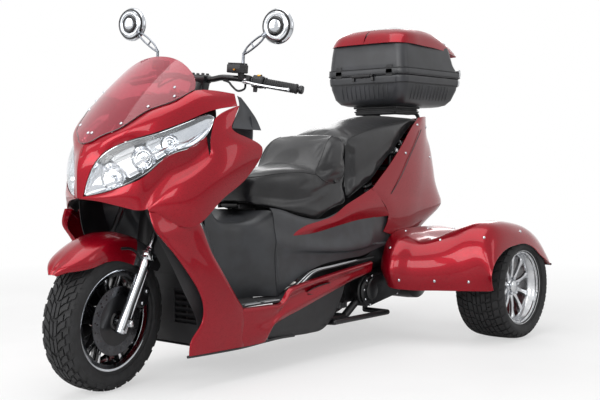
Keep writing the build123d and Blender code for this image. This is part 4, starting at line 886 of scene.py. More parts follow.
piece("side_panel_skins", both(side), GREY_PLASTIC, "chassis", ["side_panels"], bevel=0.8)

TUNNEL = [front_line([(107, 374, 262), (107, 460, 262), (112, 540, 262), (146, 608, 264), (214, 655, 268)]),
          front_line([(108, 374, 400), (110, 460, 380), (122, 540, 380), (160, 606, 392), (214, 652, 420)]),
          front_line([(106, 374, 560), (110, 456, 490), (124, 540, 486), (160, 604, 500), (208, 650, 520)]),
          front_line([(92, 376, 672), (98, 452, 552), (112, 540, 536), (142, 602, 545), (190, 648, 578)]),
          front_line([(48, 374, 698), (54, 450, 566), (62, 540, 548), (76, 602, 556), (96, 648, 584)]),
          front_line([(0, 372, 702), (0, 449, 569), (0, 540, 550), (0, 602, 558), (0, 648, 586)])]
tunnel = shell(skin(TUNNEL, 48, 34), LINER_WALL, (1, 0, 0.5))
piece("tunnel_skin", both(tunnel), GREY_PLASTIC, "chassis", ["centre_tunnel"], bevel=0.8)

# %% [markdown]
# ## Tail
#
# The tail rises behind the seat in facets and carries a lamp between its two halves. Its blade runs forward
# under the seat like a comma. The rows of the skin go from the front edge, round the corner, to the middle of
# the back, so the corner is as round as the rows make it.

# %% Tail, blade and tail lamp
TAIL = [rear_line([(160, -112, 958), (158, -70, 964), (128, 0, 966), (98, 22, 964), (50, 29, 962), (0, 31, 961)]),
        rear_line([(182, -206, 900), (174, -118, 900), (146, -24, 898), (102, 26, 894), (52, 34, 892),
                   (0, 36, 891)]),
        rear_line([(188, -272, 838), (184, -168, 838), (158, -42, 836), (112, 52, 834), (56, 64, 834),
                   (0, 66, 834)]),
        rear_line([(193, -372, 752), (192, -250, 748), (172, -80, 744), (118, 74, 740), (60, 86, 740),
                   (0, 88, 740)]),
        rear_line([(197, -452, 694), (197, -310, 684), (180, -102, 676), (124, 84, 668), (62, 94, 668),
                   (0, 96, 668)]),
        rear_line([(201, -512, 652), (202, -370, 624), (188, -140, 606), (130, 122, 590), (66, 132, 592),
                   (0, 134, 592)]),
        rear_line([(206, -402, 540), (206, -320, 532), (194, -160, 540), (134, 116, 566), (68, 128, 572),
                   (0, 130, 574)]),
        rear_line([(206, -438, 470), (204, -330, 446), (190, -190, 456), (126, -8, 500), (62, 6, 516), (0, 8, 520)])]
tail_rows = skin(TAIL[:6], 54, 36)
tail_side = shell(tail_rows, PANEL_WALL, (0.8, 0.6, 0.1))
tuck = shell(skin(TAIL[5:], 54, 10), PANEL_WALL, (0.8, 0.5, -0.4))
BLADE_TOP = on_side([(-1040, 487), (-960, 519), (-857, 536), (-779, 551), (-687, 592), (-600, 622), (-505, 656)], 5)
BLADE_LOW = on_side([(-1036, 484), (-900, 491), (-800, 504), (-720, 515), (-628, 526), (-520, 531), (-396, 536)], 5)
ridge = between(BLADE_TOP, BLADE_LOW, 0.45, [1, 5, 7, 8, 9, 9, 7], ACROSS)
blade = shell(skin([BLADE_TOP, ridge, BLADE_LOW], 50, 9), PANEL_WALL, ACROSS)
piece("tail_skin", both(tail_side) + both(tuck) + both(blade), RED_PAINT,
      "chassis", ["tail_cowl"], bevel=1.2)
seam = tube(rear_line([(203, -378, 628), (200, -300, 700), (194, -230, 780), (188, -170, 846), (178, -112, 905)]),
            1.6, 40, 8)
piece("tail_seam", both(seam), BLACK_PLASTIC, "chassis")

LAMP_ROWS = [rear_line([(94, 24, 862), (50, 58, 864), (0, 64, 864)]), rear_line([(98, 50, 826), (50, 80, 826),
                                                                                (0, 86, 826)]),
             rear_line([(100, 66, 780), (50, 92, 780), (0, 98, 780)]), rear_line([(96, 72, 718), (50, 90, 716),
                                                                                  (0, 95, 716)])]
lens = shell(skin(LAMP_ROWS, 28, 20), 2.5, (0, 1, 0.1))
piece("tail_lamp_lens", both(lens), RED_LENS, "chassis", ["tail_light"], bevel=0.8)
inner_rows = [row - (0, 22, 0) for row in LAMP_ROWS]
pan = shell(skin(inner_rows, 24, 16), 1.5, (0, 1, 0.1))
piece("tail_lamp_pan", both(pan), REFLECTOR, "chassis")
leds = [lathe([(0, 0), (0, 7.5), (-5, 5), (-8, 0)], (x, R(82), z), (0, -1, 0), 14)
        for x in (-66, -44, -22, 0, 22, 44, 66) for z in (748, 790, 832)]
piece("tail_lamp_leds", leds, RED_LENS, "chassis")

# %% [markdown]
# ## Rear fenders
#
# Each fender is a glass-fibre body that starts at the tail, dips into a saddle and rises over the wide tyre.
# The rows of its skin go from the body outwards and down over the shoulder to the arch edge; there are eleven
# rows from the front lower edge, over the top, to the rear edge.

# %% Rear fenders
X_STATIONS = (206, 270, 350, 440, 530, 602, 634, 650)
FENDER_ROWS = [
    [(-412, 262), (-478, 240), (-442, 232), (-388, 232), (-335, 232), (-306, 234), (-300, 236), (-294, 240)],
    [(-460, 316), (-500, 306), (-450, 300), (-396, 300), (-345, 300), (-318, 298), (-312, 294), (-312, 290)],
    [(-440, 386), (-476, 386), (-428, 378), (-376, 382), (-334, 390), (-314, 384), (-302, 366), (-286, 346)],
    [(-404, 440), (-420, 442), (-382, 424), (-330, 442), (-302, 462), (-286, 452), (-266, 424), (-236, 382)],
    [(-344, 468), (-340, 464), (-300, 436), (-268, 474), (-250, 504), (-234, 494), (-214, 458), (-186, 402)],
    [(-240, 476), (-230, 464), (-200, 430), (-188, 476), (-170, 513), (-156, 505), (-142, 472), (-118, 412)],
    [(-100, 476), (-100, 462), (-90, 426), (-76, 468), (-60, 505), (-54, 498), (-46, 466), (-30, 414)],
    [(30, 468), (40, 454), (50, 424), (58, 456), (60, 484), (58, 474), (54, 444), (46, 392)],
    [(150, 440), (160, 430), (160, 410), (164, 428), (164, 440), (156, 426), (142, 394), (112, 354)],
    [(226, 380), (242, 376), (246, 368), (246, 372), (240, 370), (224, 352), (206, 336), (176, 324)],
    [(238, 300), (258, 296), (262, 296), (262, 296), (258, 300), (244, 304), (228, 306), (204, 308)]]
rows = [rear_line([(x, d, z) for x, (d, z) in zip(X_STATIONS, row)]) for row in FENDER_ROWS]
fender_grid = skin(rows, 56, 84)
fender = shell(fender_grid, 4.0, (0.2, 0, 1))
piece("left_fender_skin", [fender], RED_PAINT, "chassis", ["left_rear_fender"], bevel=1.5)
piece("right_fender_skin", [mirrored(fender)], RED_PAINT, "chassis", ["right_rear_fender"], bevel=1.5)
edge = fender_grid[-1]
bead = tube(edge[::4], 5.0, 90, 10)
piece("fender_edge_beads", both(bead), BLACK_PLASTIC, "chassis")


def spot_on(grid, share_out, share_along, lift=0.5):
    """A point of a grid and the direction it faces, from its shares of the two ways across the grid."""
    grid_out = facing(grid, (0.5, 0.1, 0.8))
    if grid_out is not grid:
        share_out = 1 - share_out
    i, j = int(share_out * (grid.shape[0] - 1)), int(share_along * (grid.shape[1] - 1))
    normal = grid_normals(grid_out)[i, j]
    return grid_out[i, j] + normal * lift, normal


screws = [spot_on(fender_grid, a, b) for a, b in (
    (0.22, 0.12), (0.40, 0.10), (0.55, 0.10), (0.70, 0.10), (0.06, 0.22), (0.30, 0.40), (0.05, 0.42), (0.90, 0.42),
    (0.84, 0.52), (0.05, 0.62), (0.90, 0.72), (0.30, 0.72), (0.60, 0.86))]
screws += [spot_on(tail_rows, a, b) for a, b in ((0.12, 0.10), (0.16, 0.36), (0.20, 0.58), (0.22, 0.76), (0.08, 0.84),
                                                (0.50, 0.12), (0.52, 0.5))]
screws += [(p * (-1, 1, 1), n * (-1, 1, 1)) for p, n in screws]
on_points("body_screws", screws, DOME, 1.25, CHROME, "chassis")

# %% [markdown]
# ## Tyres
#
# A tyre is a turned casing with its tread laid on top. Each tread block is a flat polygon drawn on the unrolled
# crown, as (place across, place round) in millimetres, and then bent onto the crown and raised. One pitch of
# blocks is repeated round the wheel by the AROUND tree. Grooves cut into one turned mesh would need far more
# faces for the same sharp edges.


# %% Tyre helpers
def tyre_profile(width, outer, seat, rim_width):
    """Half outline (x, radius) of a tyre from its bead to the middle of the crown, smoothed."""
    h, rise, b = width / 2, outer - seat, rim_width / 2 - 5
    return through([(b, seat), (b + 1, seat + 15), (h * 0.93, seat + rise * 0.20), (h, seat + rise * 0.48),
                    (h * 0.975, seat + rise * 0.70), (h * 0.86, seat + rise * 0.88),
                    (h * 0.5, outer - rise * 0.022), (0, outer)], 30)


def whole(half):
    """Full outline from a half one, from the right side over the crown to the left side."""
    return np.vstack([half, half[-2::-1] * (-1, 1)])


def casing(half, sink, wall, centre, bead):
    """Turned casing whose crown lies sink below the tread's face."""
    lowered = half.copy()
    top = half[:, 1].max()
    lowered[:, 1] -= sink * np.clip((half[:, 1] - (top - 46)) / 30, 0, 1)
    outer = whole(lowered)
    inner = whole(lowered - np.stack([np.sign(lowered[:, 0]) * wall * 0.9, np.full(len(lowered), wall)], 1))
    inner[:, 1] = np.maximum(inner[:, 1], bead)
    return lathe(np.vstack([outer, inner[::-1], outer[:1]]), centre, ACROSS, 112)


def on_crown(half, reach):
    """Function that puts (across, round, height) of the unrolled crown at (x, angle, radius)."""
    line = whole(half)
    length = np.concatenate([[0], np.cumsum(np.linalg.norm(np.diff(line, axis=0), axis=1))])
    length -= length[-1] / 2
    slope = np.gradient(line, axis=0)
    normal = np.stack([-slope[:, 1], slope[:, 0]], 1)
    normal /= np.linalg.norm(normal, axis=1, keepdims=True)
    normal *= np.sign(normal[len(line) // 2, 1])

    def place(across, rounds, height):
        x, r = (np.interp(-across, length, line[:, k]) for k in (0, 1))
        nx, nr = (np.interp(-across, length, normal[:, k]) for k in (0, 1))
        x, r, angle = x + nx * height, r + nr * height, rounds / reach
        return x, r * math.sin(angle), r * math.cos(angle)
    return place


def block(place, outline, depth, centre):
    """A tread block: its outline on the crown, its foot depth below it, and slightly drawn-in walls."""
    p = np.array(outline, float)
    middle = p.mean(axis=0)
    inset = middle + (p - middle) * 0.94
    rings = [[place(a, t, -depth - 1.5) for a, t in p], [place(a, t, -0.9) for a, t in p],
             [place(a, t, 0.0) for a, t in inset]]
    return loft(np.array(rings) + np.array(centre))


def strip(a0, a1, t0, t1, skew, bend=0.0, cuts=3):
    """Outline of a block from a0 to a1 across and t0 to t1 round, leaning by skew round per unit across."""
    across = np.linspace(a0, a1, cuts)
    lean = lambda a: skew * abs(a) + bend * math.sin(math.pi * (a - a0) / (a1 - a0))
    return [(a, t0 + lean(a)) for a in across] + [(a, t1 + lean(a)) for a in across[::-1]]


def tread(put, outlines, centre):
    """The blocks of one pitch, on both sides of the crown's middle."""
    return [block(put, [(a * side, t) for a, t in outline][::side], SINK, centre)
            for side in (-1, 1) for outline in outlines]


def about_front(count):
    """What the AROUND tree needs for copies about the front axle, which is turned with the steering."""
    return {"Count": count, "Centre": tuple(moved(FRONT_AXLE, STEER_TURN) * MM),
            "Axle": JOINTS["front_wheel_spin"]["axis"]}


def about_rear(axle, count):
    """What the AROUND tree needs for copies about a rear axle."""
    return {"Count": count, "Centre": tuple(axle * MM), "Axle": (1.0, 0.0, 0.0)}


SINK = 6.5
SIDES = (("left", 1), ("right", -1))

# %% Front tyre
WIDTH, OUTER, BEAD, RIM, PITCHES = 130, 243, 165.5, 92, 26
half = tyre_profile(WIDTH, OUTER, BEAD, RIM)
pitch = 2 * math.pi * OUTER / PITCHES
blocks = tread(on_crown(half, OUTER), (
    strip(2.5, 14, 0, pitch * 0.78, 0.9), strip(18, 46, 0, pitch * 0.36, 0.9, 5),
    strip(18, 36, pitch * 0.50, pitch * 0.86, 0.9, 3), strip(41, 59, pitch * 0.46, pitch * 0.86, 0.9, 3),
    strip(62, 78, pitch * 0.06, pitch * 0.72, 0.9)), FRONT_AXLE)
repeated("front_tread", blocks, AROUND, about_front(PITCHES), TYRE_RUBBER, "front_wheel", matrix=STEER_TURN)
RIB = [(57.0, 183), (61.6, 186), (62.6, 188), (60.5, 190), (57, 188), (57, 183)]
ribs = [lathe([(s * side, r) for s, r in RIB], FRONT_AXLE, ACROSS, 96) for side in (-1, 1)]
piece("front_tyre_casing", [casing(half, SINK, 9, FRONT_AXLE, 166)] + ribs, TYRE_RUBBER, "front_wheel",
      ["front_tyre"], steered=True, angle=30)

# %% Rear tyres
WIDTH, OUTER, BEAD, RIM, PITCHES = 226, 223, 153, 196, 34
half = tyre_profile(WIDTH, OUTER, BEAD, RIM)
pitch = 2 * math.pi * OUTER / PITCHES
for side_name, sign in SIDES:
    axle, body = REAR_AXLE * (sign, 1, 1), side_name + "_rear_wheel"
    blocks = tread(on_crown(half, OUTER), (
        strip(3, 17, 0, pitch * 0.84, 0.35), strip(22, 42, pitch * 0.1, pitch * 0.9, 0.35, 4),
        strip(47, 67, 0, pitch * 0.40, 0.35, -3), strip(47, 67, pitch * 0.48, pitch * 0.88, 0.35, -3),
        strip(72, 98, pitch * 0.06, pitch * 0.80, 0.35, 3), strip(103, 124, 0, pitch * 0.72, 0.35)), axle)
    repeated(side_name + "_rear_tread", blocks, AROUND, about_rear(axle, PITCHES), TYRE_RUBBER, body)
    piece(side_name + "_rear_casing", [casing(half, SINK, 10, axle, 154)], TYRE_RUBBER, body,
          [side_name + "_rear_tyre"], angle=30)

# %% [markdown]
# ## Rims, hubs and brakes
#
# The front rim is black with a polished lip, and its five split spokes have polished edges. The rear rims are
# deep polished dishes: ten tapered spokes sit near the outer face, with a cap and five nuts in the middle. A
# spoke is a loft through a few rounded sections, so it can taper and twist, and the AROUND tree repeats it.


# %% Rim helpers
def section(centre, half_x, half_t, soft, steps=12):
    """Rounded-rectangle ring at (x, along, radius) = centre, with half sizes along the axle and round it."""
    a = 2 * math.pi * (np.arange(steps) + 0.5) / steps
    squared = lambda wave: np.copysign(abs(wave) ** soft, wave)
    return np.stack([half_x * squared(np.cos(a)), half_t * squared(np.sin(a)), 0 * a], 1) + np.array(centre)


def barrel(width, seat, centre, well=12, wall=5, rise=13):
    """Turned rim barrel with two flanges and a drop centre."""
    w = width / 2
    out = [(-w - 1, seat + rise - 2), (-w + 1, seat + rise), (-w + 5, seat + rise - 3), (-w + 6, seat + 2),
           (-w + 9, seat), (-w + 24, seat), (-w + 34, seat - well), (w - 34, seat - well), (w - 24, seat),
           (w - 9, seat), (w - 6, seat + 2), (w - 5, seat + rise - 3), (w - 1, seat + rise), (w + 1, seat + rise - 2)]
    back = [(s * (1 - 3 / w), r - wall - (0 if abs(s) < w - 20 else 2)) for s, r in out[::-1]]
    return lathe(out + back + out[:1], centre, ACROSS, 96)


# %% Front rim and brakes
hub = lathe([(-58, 9.5), (-58, 26), (-52, 33), (-30, 34), (-22, 30), (22, 30), (30, 34), (52, 33), (58, 26),
             (58, 9.5), (-58, 9.5)], FRONT_AXLE, ACROSS, 48)
piece("front_rim_barrel", [barrel(92, 164.5, FRONT_AXLE), hub], RIM_BLACK, "front_wheel",
      ["front_rim"], steered=True, bevel=0.6)
lips = [lathe([(side * 46.5, 162), (side * 49.6, 170), (side * 49.4, 179), (side * 45.2, 180.6), (side * 42.0, 176),
               (side * 43.6, 172.5), (side * 43.4, 162), (side * 39.5, 151), (side * 42.0, 150),
               (side * 46.5, 162)], FRONT_AXLE, ACROSS, 128) for side in (-1, 1)]
piece("front_rim_lips", lips, CHROME, "front_wheel", steered=True)


def spoke(stations, axle, soft=0.4):
    """Loft about an axle through (x, round, radius, half x, half round) stations, smoothed."""
    points, faces = loft([section((x, t, r), hx, ht, soft) for x, t, r, hx, ht in through(stations, 14)])
    return points + axle, faces


arm = [spoke([(0, 0, 26, 24, 13), (3, 4, 60, 21, 10), (8, 12 * s, 96, 16, 7.5), (12, 24 * s, 130, 15, 8),
              (12, 30 * s, 153, 20, 10)], FRONT_AXLE) for s in (-1, 1)]
FRONT_SPOKES = 5
repeated("front_spokes", arm, AROUND, about_front(FRONT_SPOKES), RIM_BLACK, "front_wheel", bevel=0.8,
         matrix=STEER_TURN)
trims = [spoke([(x0, 4 + 8 * s, 62, 1.4, 1.6), (24 * out_side, 23 * s, 98, 1.6, 3.0),
                (27 * out_side, 33 * s, 130, 1.8, 5.0), (31 * out_side, 39 * s, 152, 2.0, 7.5)], FRONT_AXLE)
         for out_side, x0 in ((1, 24), (-1, -18)) for s in (-1, 1)]
repeated("front_spoke_trims", trims, AROUND, about_front(FRONT_SPOKES), POLISHED, "front_wheel",
         matrix=STEER_TURN)
discs, carriers = [], []
for side in (-1, 1):
    at = FRONT_AXLE + (side * 52, 0, 0)
    discs.append(lathe([(-2, 84), (-2, 117.5), (2, 117.5), (2, 84), (-2, 84)], at, ACROSS, 96))
    carriers.append(lathe([(-2.5, 34.2), (-2.5, 60), (-1.5, 88), (1.5, 88), (2.5, 60), (4, 44), (4, 34.2),
                           (-2.5, 34.2)], at, ACROSS, 60))
piece("front_discs", discs, DISC_STEEL, "front_wheel", ["front_brake_discs"], steered=True, bevel=0.5)
piece("front_disc_carriers", carriers, SATIN_BLACK, "front_wheel", steered=True, bevel=0.5)
holes = both(*[lathe([(-2.4, 0), (-2.4, r), (2.4, r), (2.4, 0)], FRONT_AXLE + (52, t, out), ACROSS, 12)
               for r, t, out in ((3.4, 0, 96), (3.0, 7, 107))])
repeated("disc_holes", holes, AROUND, about_front(20), GLOSS_BLACK, "front_wheel", matrix=STEER_TURN)

# %% Rear rims
for side_name, sign in SIDES:
    axle, body = REAR_AXLE * (sign, 1, 1), side_name + "_rear_wheel"
    dish = lathe([(97, 163), (99, 165.5), (97.5, 166.2), (93, 163), (91, 152), (80, 146), (70, 141), (62, 134),
                  (50, 131), (44, 134), (60, 140), (78, 150), (88, 156), (92, 163), (97, 163)],
                 axle, (sign, 0, 0), 128)
    cup = lathe([(-8, 17.5), (-8, 42), (30, 42), (44, 38), (50, 30), (52, 17.5), (-8, 17.5)], axle, (sign, 0, 0), 48)
    cap = lathe([(44, 29), (58, 27), (64, 20), (66, 0.0), (44, 0.0)], axle, (sign, 0, 0), 40)
    sleeve = lathe([(-68, 17.5), (-68, 36), (-10, 36), (-8, 17.5), (-68, 17.5)], axle, (sign, 0, 0), 40)
    piece(side_name + "_rim_barrel", [barrel(196, 152, axle), dish, cup, cap, sleeve], POLISHED, body,
          [side_name + "_rear_rim"], bevel=0.5)
    arm = spoke([(38, 0, 34, 10, 13), (44, 0, 70, 8.5, 8.0), (46, 0, 104, 8, 8.5), (48, 0, 126, 9, 13),
                 (46, 0, 137, 10, 19)], 0, 0.5)
    arm = (arm[0] * (sign, 1, 1) + axle, arm[1])
    repeated(side_name + "_spokes", [arm], AROUND, about_rear(axle, 10), POLISHED, body, bevel=0.6)
    nut = lathe([(46, 0.0), (46, 7.6), (60, 7.2), (63, 4.5), (63, 0.0)], axle + (0, 0, 33), (sign, 0, 0), 6)
    repeated(side_name + "_nuts", [nut], AROUND, about_rear(axle, 5), CHROME, body, bevel=0.4)
    bolt = lathe([(86, 0), (86, 3.6), (92, 3.4), (93.5, 0)], axle + (0, 0, 150), (sign, 0, 0), 8)
    repeated(side_name + "_rim_bolts", [bolt], AROUND, about_rear(axle, 24), CHROME, body)

# %% [markdown]
# ## Fork and front fender
#
# The fork is drawn straight ahead, along the steering axis, and turned as it is made. The lower legs are plated
# castings with a black rib between two bright edges, the stanchions are thin hard-chromed tubes, and a clamp
# with two bolts tops each leg.

# %% Fork
FORK_UP = STEER_UP
FORK_AHEAD = np.array((0, -FORK_UP[2], FORK_UP[1]))


def on_fork(x, up, ahead=0.0):
    """Point of the fork: x from the middle, up the leg from the axle, ahead of the axle line."""
    return np.array((x, FRONT_AXLE[1], FRONT_AXLE[2])) + FORK_UP * up + FORK_AHEAD * ahead


legs, stripes, clamps, tubes = [], [], [], []
for sign in (-1, 1):
    at = lambda up, dx=0.0, ahead=0.0: on_fork(sign * (91 + dx), up, 11 + ahead)
    legs.append(lathe([(-44, 0.0), (-44, 12), (-40, 17), (-16, 19), (20, 18.5), (60, 16.5), (190, 16.5),
                       (206, 19), (252, 19.5), (256, 17), (256, 10.5)], at(0), FORK_UP, 32))
    legs.append(lathe([(-20, 0.0), (-20, 15), (14, 15), (14, 0.0)], on_fork(sign * 94, 0, 2), (sign, 0, 0), 28))
    stripes.append(tube([at(-30, 16, 4), at(60, 15, 4), at(196, 15, 4)], 4.6, 24, 8))
    legs.append(tube([at(-36, 8, -13), at(60, 7, -13), at(206, 7, -13)], [8, 9, 8], 24, 14))
    clamps.append(lathe([(222, 19.6), (222, 24), (228, 26), (244, 26), (250, 24), (250, 19.6), (222, 19.6)],
                        at(0), FORK_UP, 32))
    for up in (228, 243):
        clamps.append(lathe([(-16, 0.0), (-16, 4.6), (16, 4.6), (16, 0.0)], at(up, 4, 24), ACROSS, 10))
    clamps.append(lathe([(-6, 0.0), (-6, 12), (6, 12), (6, 0.0)], at(236, 20, -6), ACROSS, 16))
    tubes.append(lathe([(225, 0), (225, 12.0), (500, 12.0), (500, 0)], at(0), FORK_UP, 32))
    tubes.append(lathe([(252, 12.2), (252, 17), (260, 17), (266, 13), (266, 12.2), (252, 12.2)], at(0), FORK_UP, 32))
axle_bar = lathe([(-116, 0), (-116, 8), (-112, 9), (112, 9), (116, 8), (116, 0)], FRONT_AXLE, ACROSS, 24)
axle_nuts = [lathe([(108, 0.0), (108, 13), (120, 12.4), (122, 9), (122, 0.0)], FRONT_AXLE, (s, 0, 0), 6)
             for s in (-1, 1)]
piece("fork_lower_legs", legs + tubes + [axle_bar], CHROME, "steering", ["fork_legs"], steered=True,
      bevel=0.5)
piece("fork_ribs", stripes, SATIN_BLACK, "steering", steered=True)
piece("fork_clamps", clamps + axle_nuts, POLISHED, "steering", steered=True, bevel=0.6)


# %% Front fender
def round_wheel(degrees, radius, x):
    """Point over the front wheel: degrees up from straight ahead, at a radius from the axle."""
    a = math.radians(degrees)
    return (x, FRONT_AXLE[1] - radius * math.cos(a), FRONT_AXLE[2] + radius * math.sin(a))


FRONT_ROWS = [(34, 314, 16, 312, 305), (39, 317, 40, 311, 292), (45, 312, 62, 300, 268), (53, 306, 75, 288, 246),
              (66, 300, 78, 281, 229), (80, 297, 79, 279, 212), (93, 294, 79, 277, 198), (105, 290, 79, 275, 192),
              (125, 284, 78, 270, 206), (139, 278, 74, 266, 232)]
rows = []
for degrees, ridge, half_width, shoulder, low in FRONT_ROWS:
    side = [round_wheel(degrees, radius, half_width * share) for radius, share in (
        (ridge - 1.5, 0.22), ((ridge + shoulder) / 2 + 2, 0.6), (shoulder, 0.88), ((shoulder + low) / 2, 1.0),
        (low, 0.99))]
    rows.append([(-x, y, z) for x, y, z in side[::-1]] + [round_wheel(degrees, ridge, 0)] + side)
front_fender_grid = skin(rows, 56, 60)
PAINTED_SHADE_FROM = 45  # row of the grid where the red skin ends and the black rear end begins, painted shade for the dark rear behind the fork
fender = shell(front_fender_grid[:PAINTED_SHADE_FROM + 1], PANEL_WALL, UPWARDS)
# the rear rows are drawn in black plastic: painted shade where the fender lies dark behind the fork
black_shell = shell(front_fender_grid[PAINTED_SHADE_FROM:], LINER_WALL, (0, 0.6, 1))
piece("front_fender_skin", [fender], RED_PAINT, "steering", ["front_fender"], steered=True, bevel=1.0)
piece("fender_rear_guard", [black_shell], BLACK_PLASTIC, "steering", steered=True, bevel=0.8)
stays = [tube([on_fork(s * 84, 168, -8), on_fork(s * 82, 196, -14), round_wheel(100, 240, s * 80),
               round_wheel(84, 250, s * 79)], 5.0, 16, 10) for s in (-1, 1)]
piece("fender_stays", stays, SATIN_BLACK, "steering", steered=True)

# %% Brake calipers
CALIPER = [(-25, -30), (-14, -39), (10, -38), (22, -26), (25, 0), (22, 28), (10, 39), (-16, 38), (-25, 26)]
calipers, caliper_bolts = [], []
for sign in (-1, 1):
    centre = on_fork(sign * 68, 78) + (0, 62, 4)
    calipers.append(slab(CALIPER, (-17, 17), centre, -FORK_AHEAD, FORK_UP, 4))
    calipers.append(tube([centre, centre + (sign * 8, -30, 2), on_fork(sign * 91, 88, 2)], 11, 12, 14))
    for up in (-22, 22):
        calipers.append(lathe([(-19, 0), (-19, 13), (19, 13), (19, 0)], centre + FORK_UP * up, ACROSS, 24))
        caliper_bolts.append((centre + FORK_UP * up + (sign * 19, 0, 0), np.array((sign, 0, 0))))
piece("caliper_bodies", calipers, SATIN_BLACK, "steering", ["brake_calipers"], steered=True,
      bevel=0.8)
on_points("caliper_bolts", caliper_bolts, DOME, 1.5, CHROME, "steering", matrix=STEER_TURN)
print("front end pieces:", len(MADE))

# %% [markdown]
# ## Seats
#
# The seat is foam under vinyl. Its cover is pulled down over a pan, so the sides are hollow between the seam and
# the lower roll, and it swells between the stitched lines. Each half is drawn as rings across the machine, then
# remeshed and blown up a little by Blender's cloth with the seams and the pan held, so that the foam crowns and
# the seams sink in by themselves. A subdivision surface alone gives the same outline, but its seams stay flat.

# %% Seat rings
def seat_ring(d, half_width, low, edge, top, under):
    """Ring across the seat d behind the rear axle: low is its lower roll, edge its seam, top its middle."""
    w, rise = half_width, edge - low
    k = min(1.0, rise / 70)
    half = [(0, under), (min(0.78 * w, 138), under), (w - 25 * k, low + 14 * k), (w - 13 * k, low),
            (w - 1, low + 9 * k), (w - 10 * k, low + 0.30 * rise), (w - 5 * k, low + 0.62 * rise),
            (w - 8 * k, edge - 13 * k), (w - 30 * k, edge + 6), (0.45 * w, (edge + 3 * top) / 4), (0, top)]
    return [(x, R(d), z) for x, z in half] + [(-x, R(d), z) for x, z in half[-2:0:-1]]


RIDER = [(-1147, 62, 632, 676, 690, 624), (-1142, 92, 612, 698, 710, 614), (-1122, 116, 601, 712, 722, 614),
         (-1075, 137, 590, 722, 727, 616), (-1000, 158, 573, 731, 732, 616), (-915, 174, 552, 733, 738, 616),
         (-862, 180, 540, 730, 748, 616), (-825, 180, 540, 742, 776, 616), (-785, 181, 554, 800, 818, 616),
         (-745, 181, 568, 843, 850, 616), (-700, 180, 580, 860, 874, 616), (-668, 179, 592, 861, 881, 616),
         (-656, 172, 602, 848, 872, 620)]
PASSENGER = [(-642, 164, 618, 842, 862, 628), (-630, 171, 608, 858, 882, 624), (-586, 172, 626, 876, 899, 640),
             (-520, 172, 656, 893, 916, 664), (-460, 172, 684, 906, 932, 690), (-400, 171, 732, 918, 947, 732),
             (-330, 170, 786, 929, 959, 790), (-262, 168, 838, 937, 966, 842), (-200, 163, 886, 941, 967, 888),
             (-140, 152, 922, 944, 964, 924), (-90, 138, 936, 946, 958, 944), (-62, 124, 942, 947, 952, 946)]
rider_grid = skin([seat_ring(*row) for row in RIDER], 84, 64, closed=True)
passenger_grid = skin([seat_ring(*row) for row in PASSENGER], 84, 64, closed=True)
# the lumbar roll stands proud of the rider's seat at both ends
y, x, z = rider_grid[..., 1] - R(0), rider_grid[..., 0], rider_grid[..., 2]
roll = np.interp(y, [-842, -800, -776, -690, -664, -655], [0, 0.5, 1, 1, 0.4, 0])
roll *= np.interp(z, [676, 706, 760, 830, 862], [0, 0.7, 1, 0.8, 0]) * (abs(x) > 130)
rider_grid[..., 0] += np.sign(x) * roll * 9
dip = np.interp(y, [-900, -850, -826, -800], [0, 1, 1, 0]) * np.interp(z, [672, 690, 730, 760], [0, 1, 1, 0.2])
rider_grid[..., 0] -= np.sign(x) * dip * (abs(x) > 130) * 7
print("rider ring points", rider_grid.shape, "passenger", passenger_grid.shape)

# %% Seam lines
RIDER_SEAM = rear_line([(0, -1141, 706), (56, -1139, 706), (98, -1124, 711), (134, -1072, 724), (157, -1000, 733),
                        (172, -915, 734), (175, -872, 728), (172, -838, 716), (174, -806, 694), (180, -762, 680),
                        (182, -716, 684), (182, -682, 702), (180, -664, 738)])
ROLL_SEAM = rear_line([(172, -838, 716), (172, -836, 756), (168, -812, 796), (160, -784, 828), (152, -748, 856),
                       (140, -700, 876)])
PASSENGER_SEAM = rear_line([(163, -630, 856), (164, -586, 874), (164, -520, 892), (163, -460, 906),
                            (162, -400, 918), (160, -330, 930), (156, -262, 938), (150, -200, 943), (136, -140, 948)])
SEAMS = {"rider": [RIDER_SEAM, ROLL_SEAM], "passenger": [PASSENGER_SEAM]}


def both_sides(lines):
    """Smooth lines through the given ones, on both sides of the machine."""
    return [through(line * (s, 1, 1), 60) for line in lines for s in (1, -1)]


# %% Foam and cover
def as_plain(obj):
    """The object with its modifiers applied."""
    mesh = bpy.data.meshes.new_from_object(obj.evaluated_get(bpy.context.evaluated_depsgraph_get()))
    name = obj.name
    bpy.data.objects.remove(obj)
    mesh.name = name
    return new_object(name, mesh)


def points_of(obj):
    """The places of an object's vertices, in metres."""
    co = np.empty(len(obj.data.vertices) * 3, np.float32)
    obj.data.vertices.foreach_get("co", co)
    return co.reshape(-1, 3).astype(float)


def laid(obj, line, lift=0.0):
    """The line's points moved to the nearest place on a piece, lift millimetres proud of it."""
    tree = BVHTree.FromPolygons([v.co for v in obj.data.vertices], [p.vertices for p in obj.data.polygons])
    out = []
    for p in line:
        spot, normal, _, _ = tree.find_nearest(Vector(np.array(p) * MM))
        out.append(np.array(spot + normal * lift * MM) / MM)
    return np.array(out)


FACE_SIZE, SEAM_REACH = 0.006, 0.010  # metres: a face of the cover, and how far a seam pulls at it
PRESSURE, LAST_FRAME = 4.0, 20


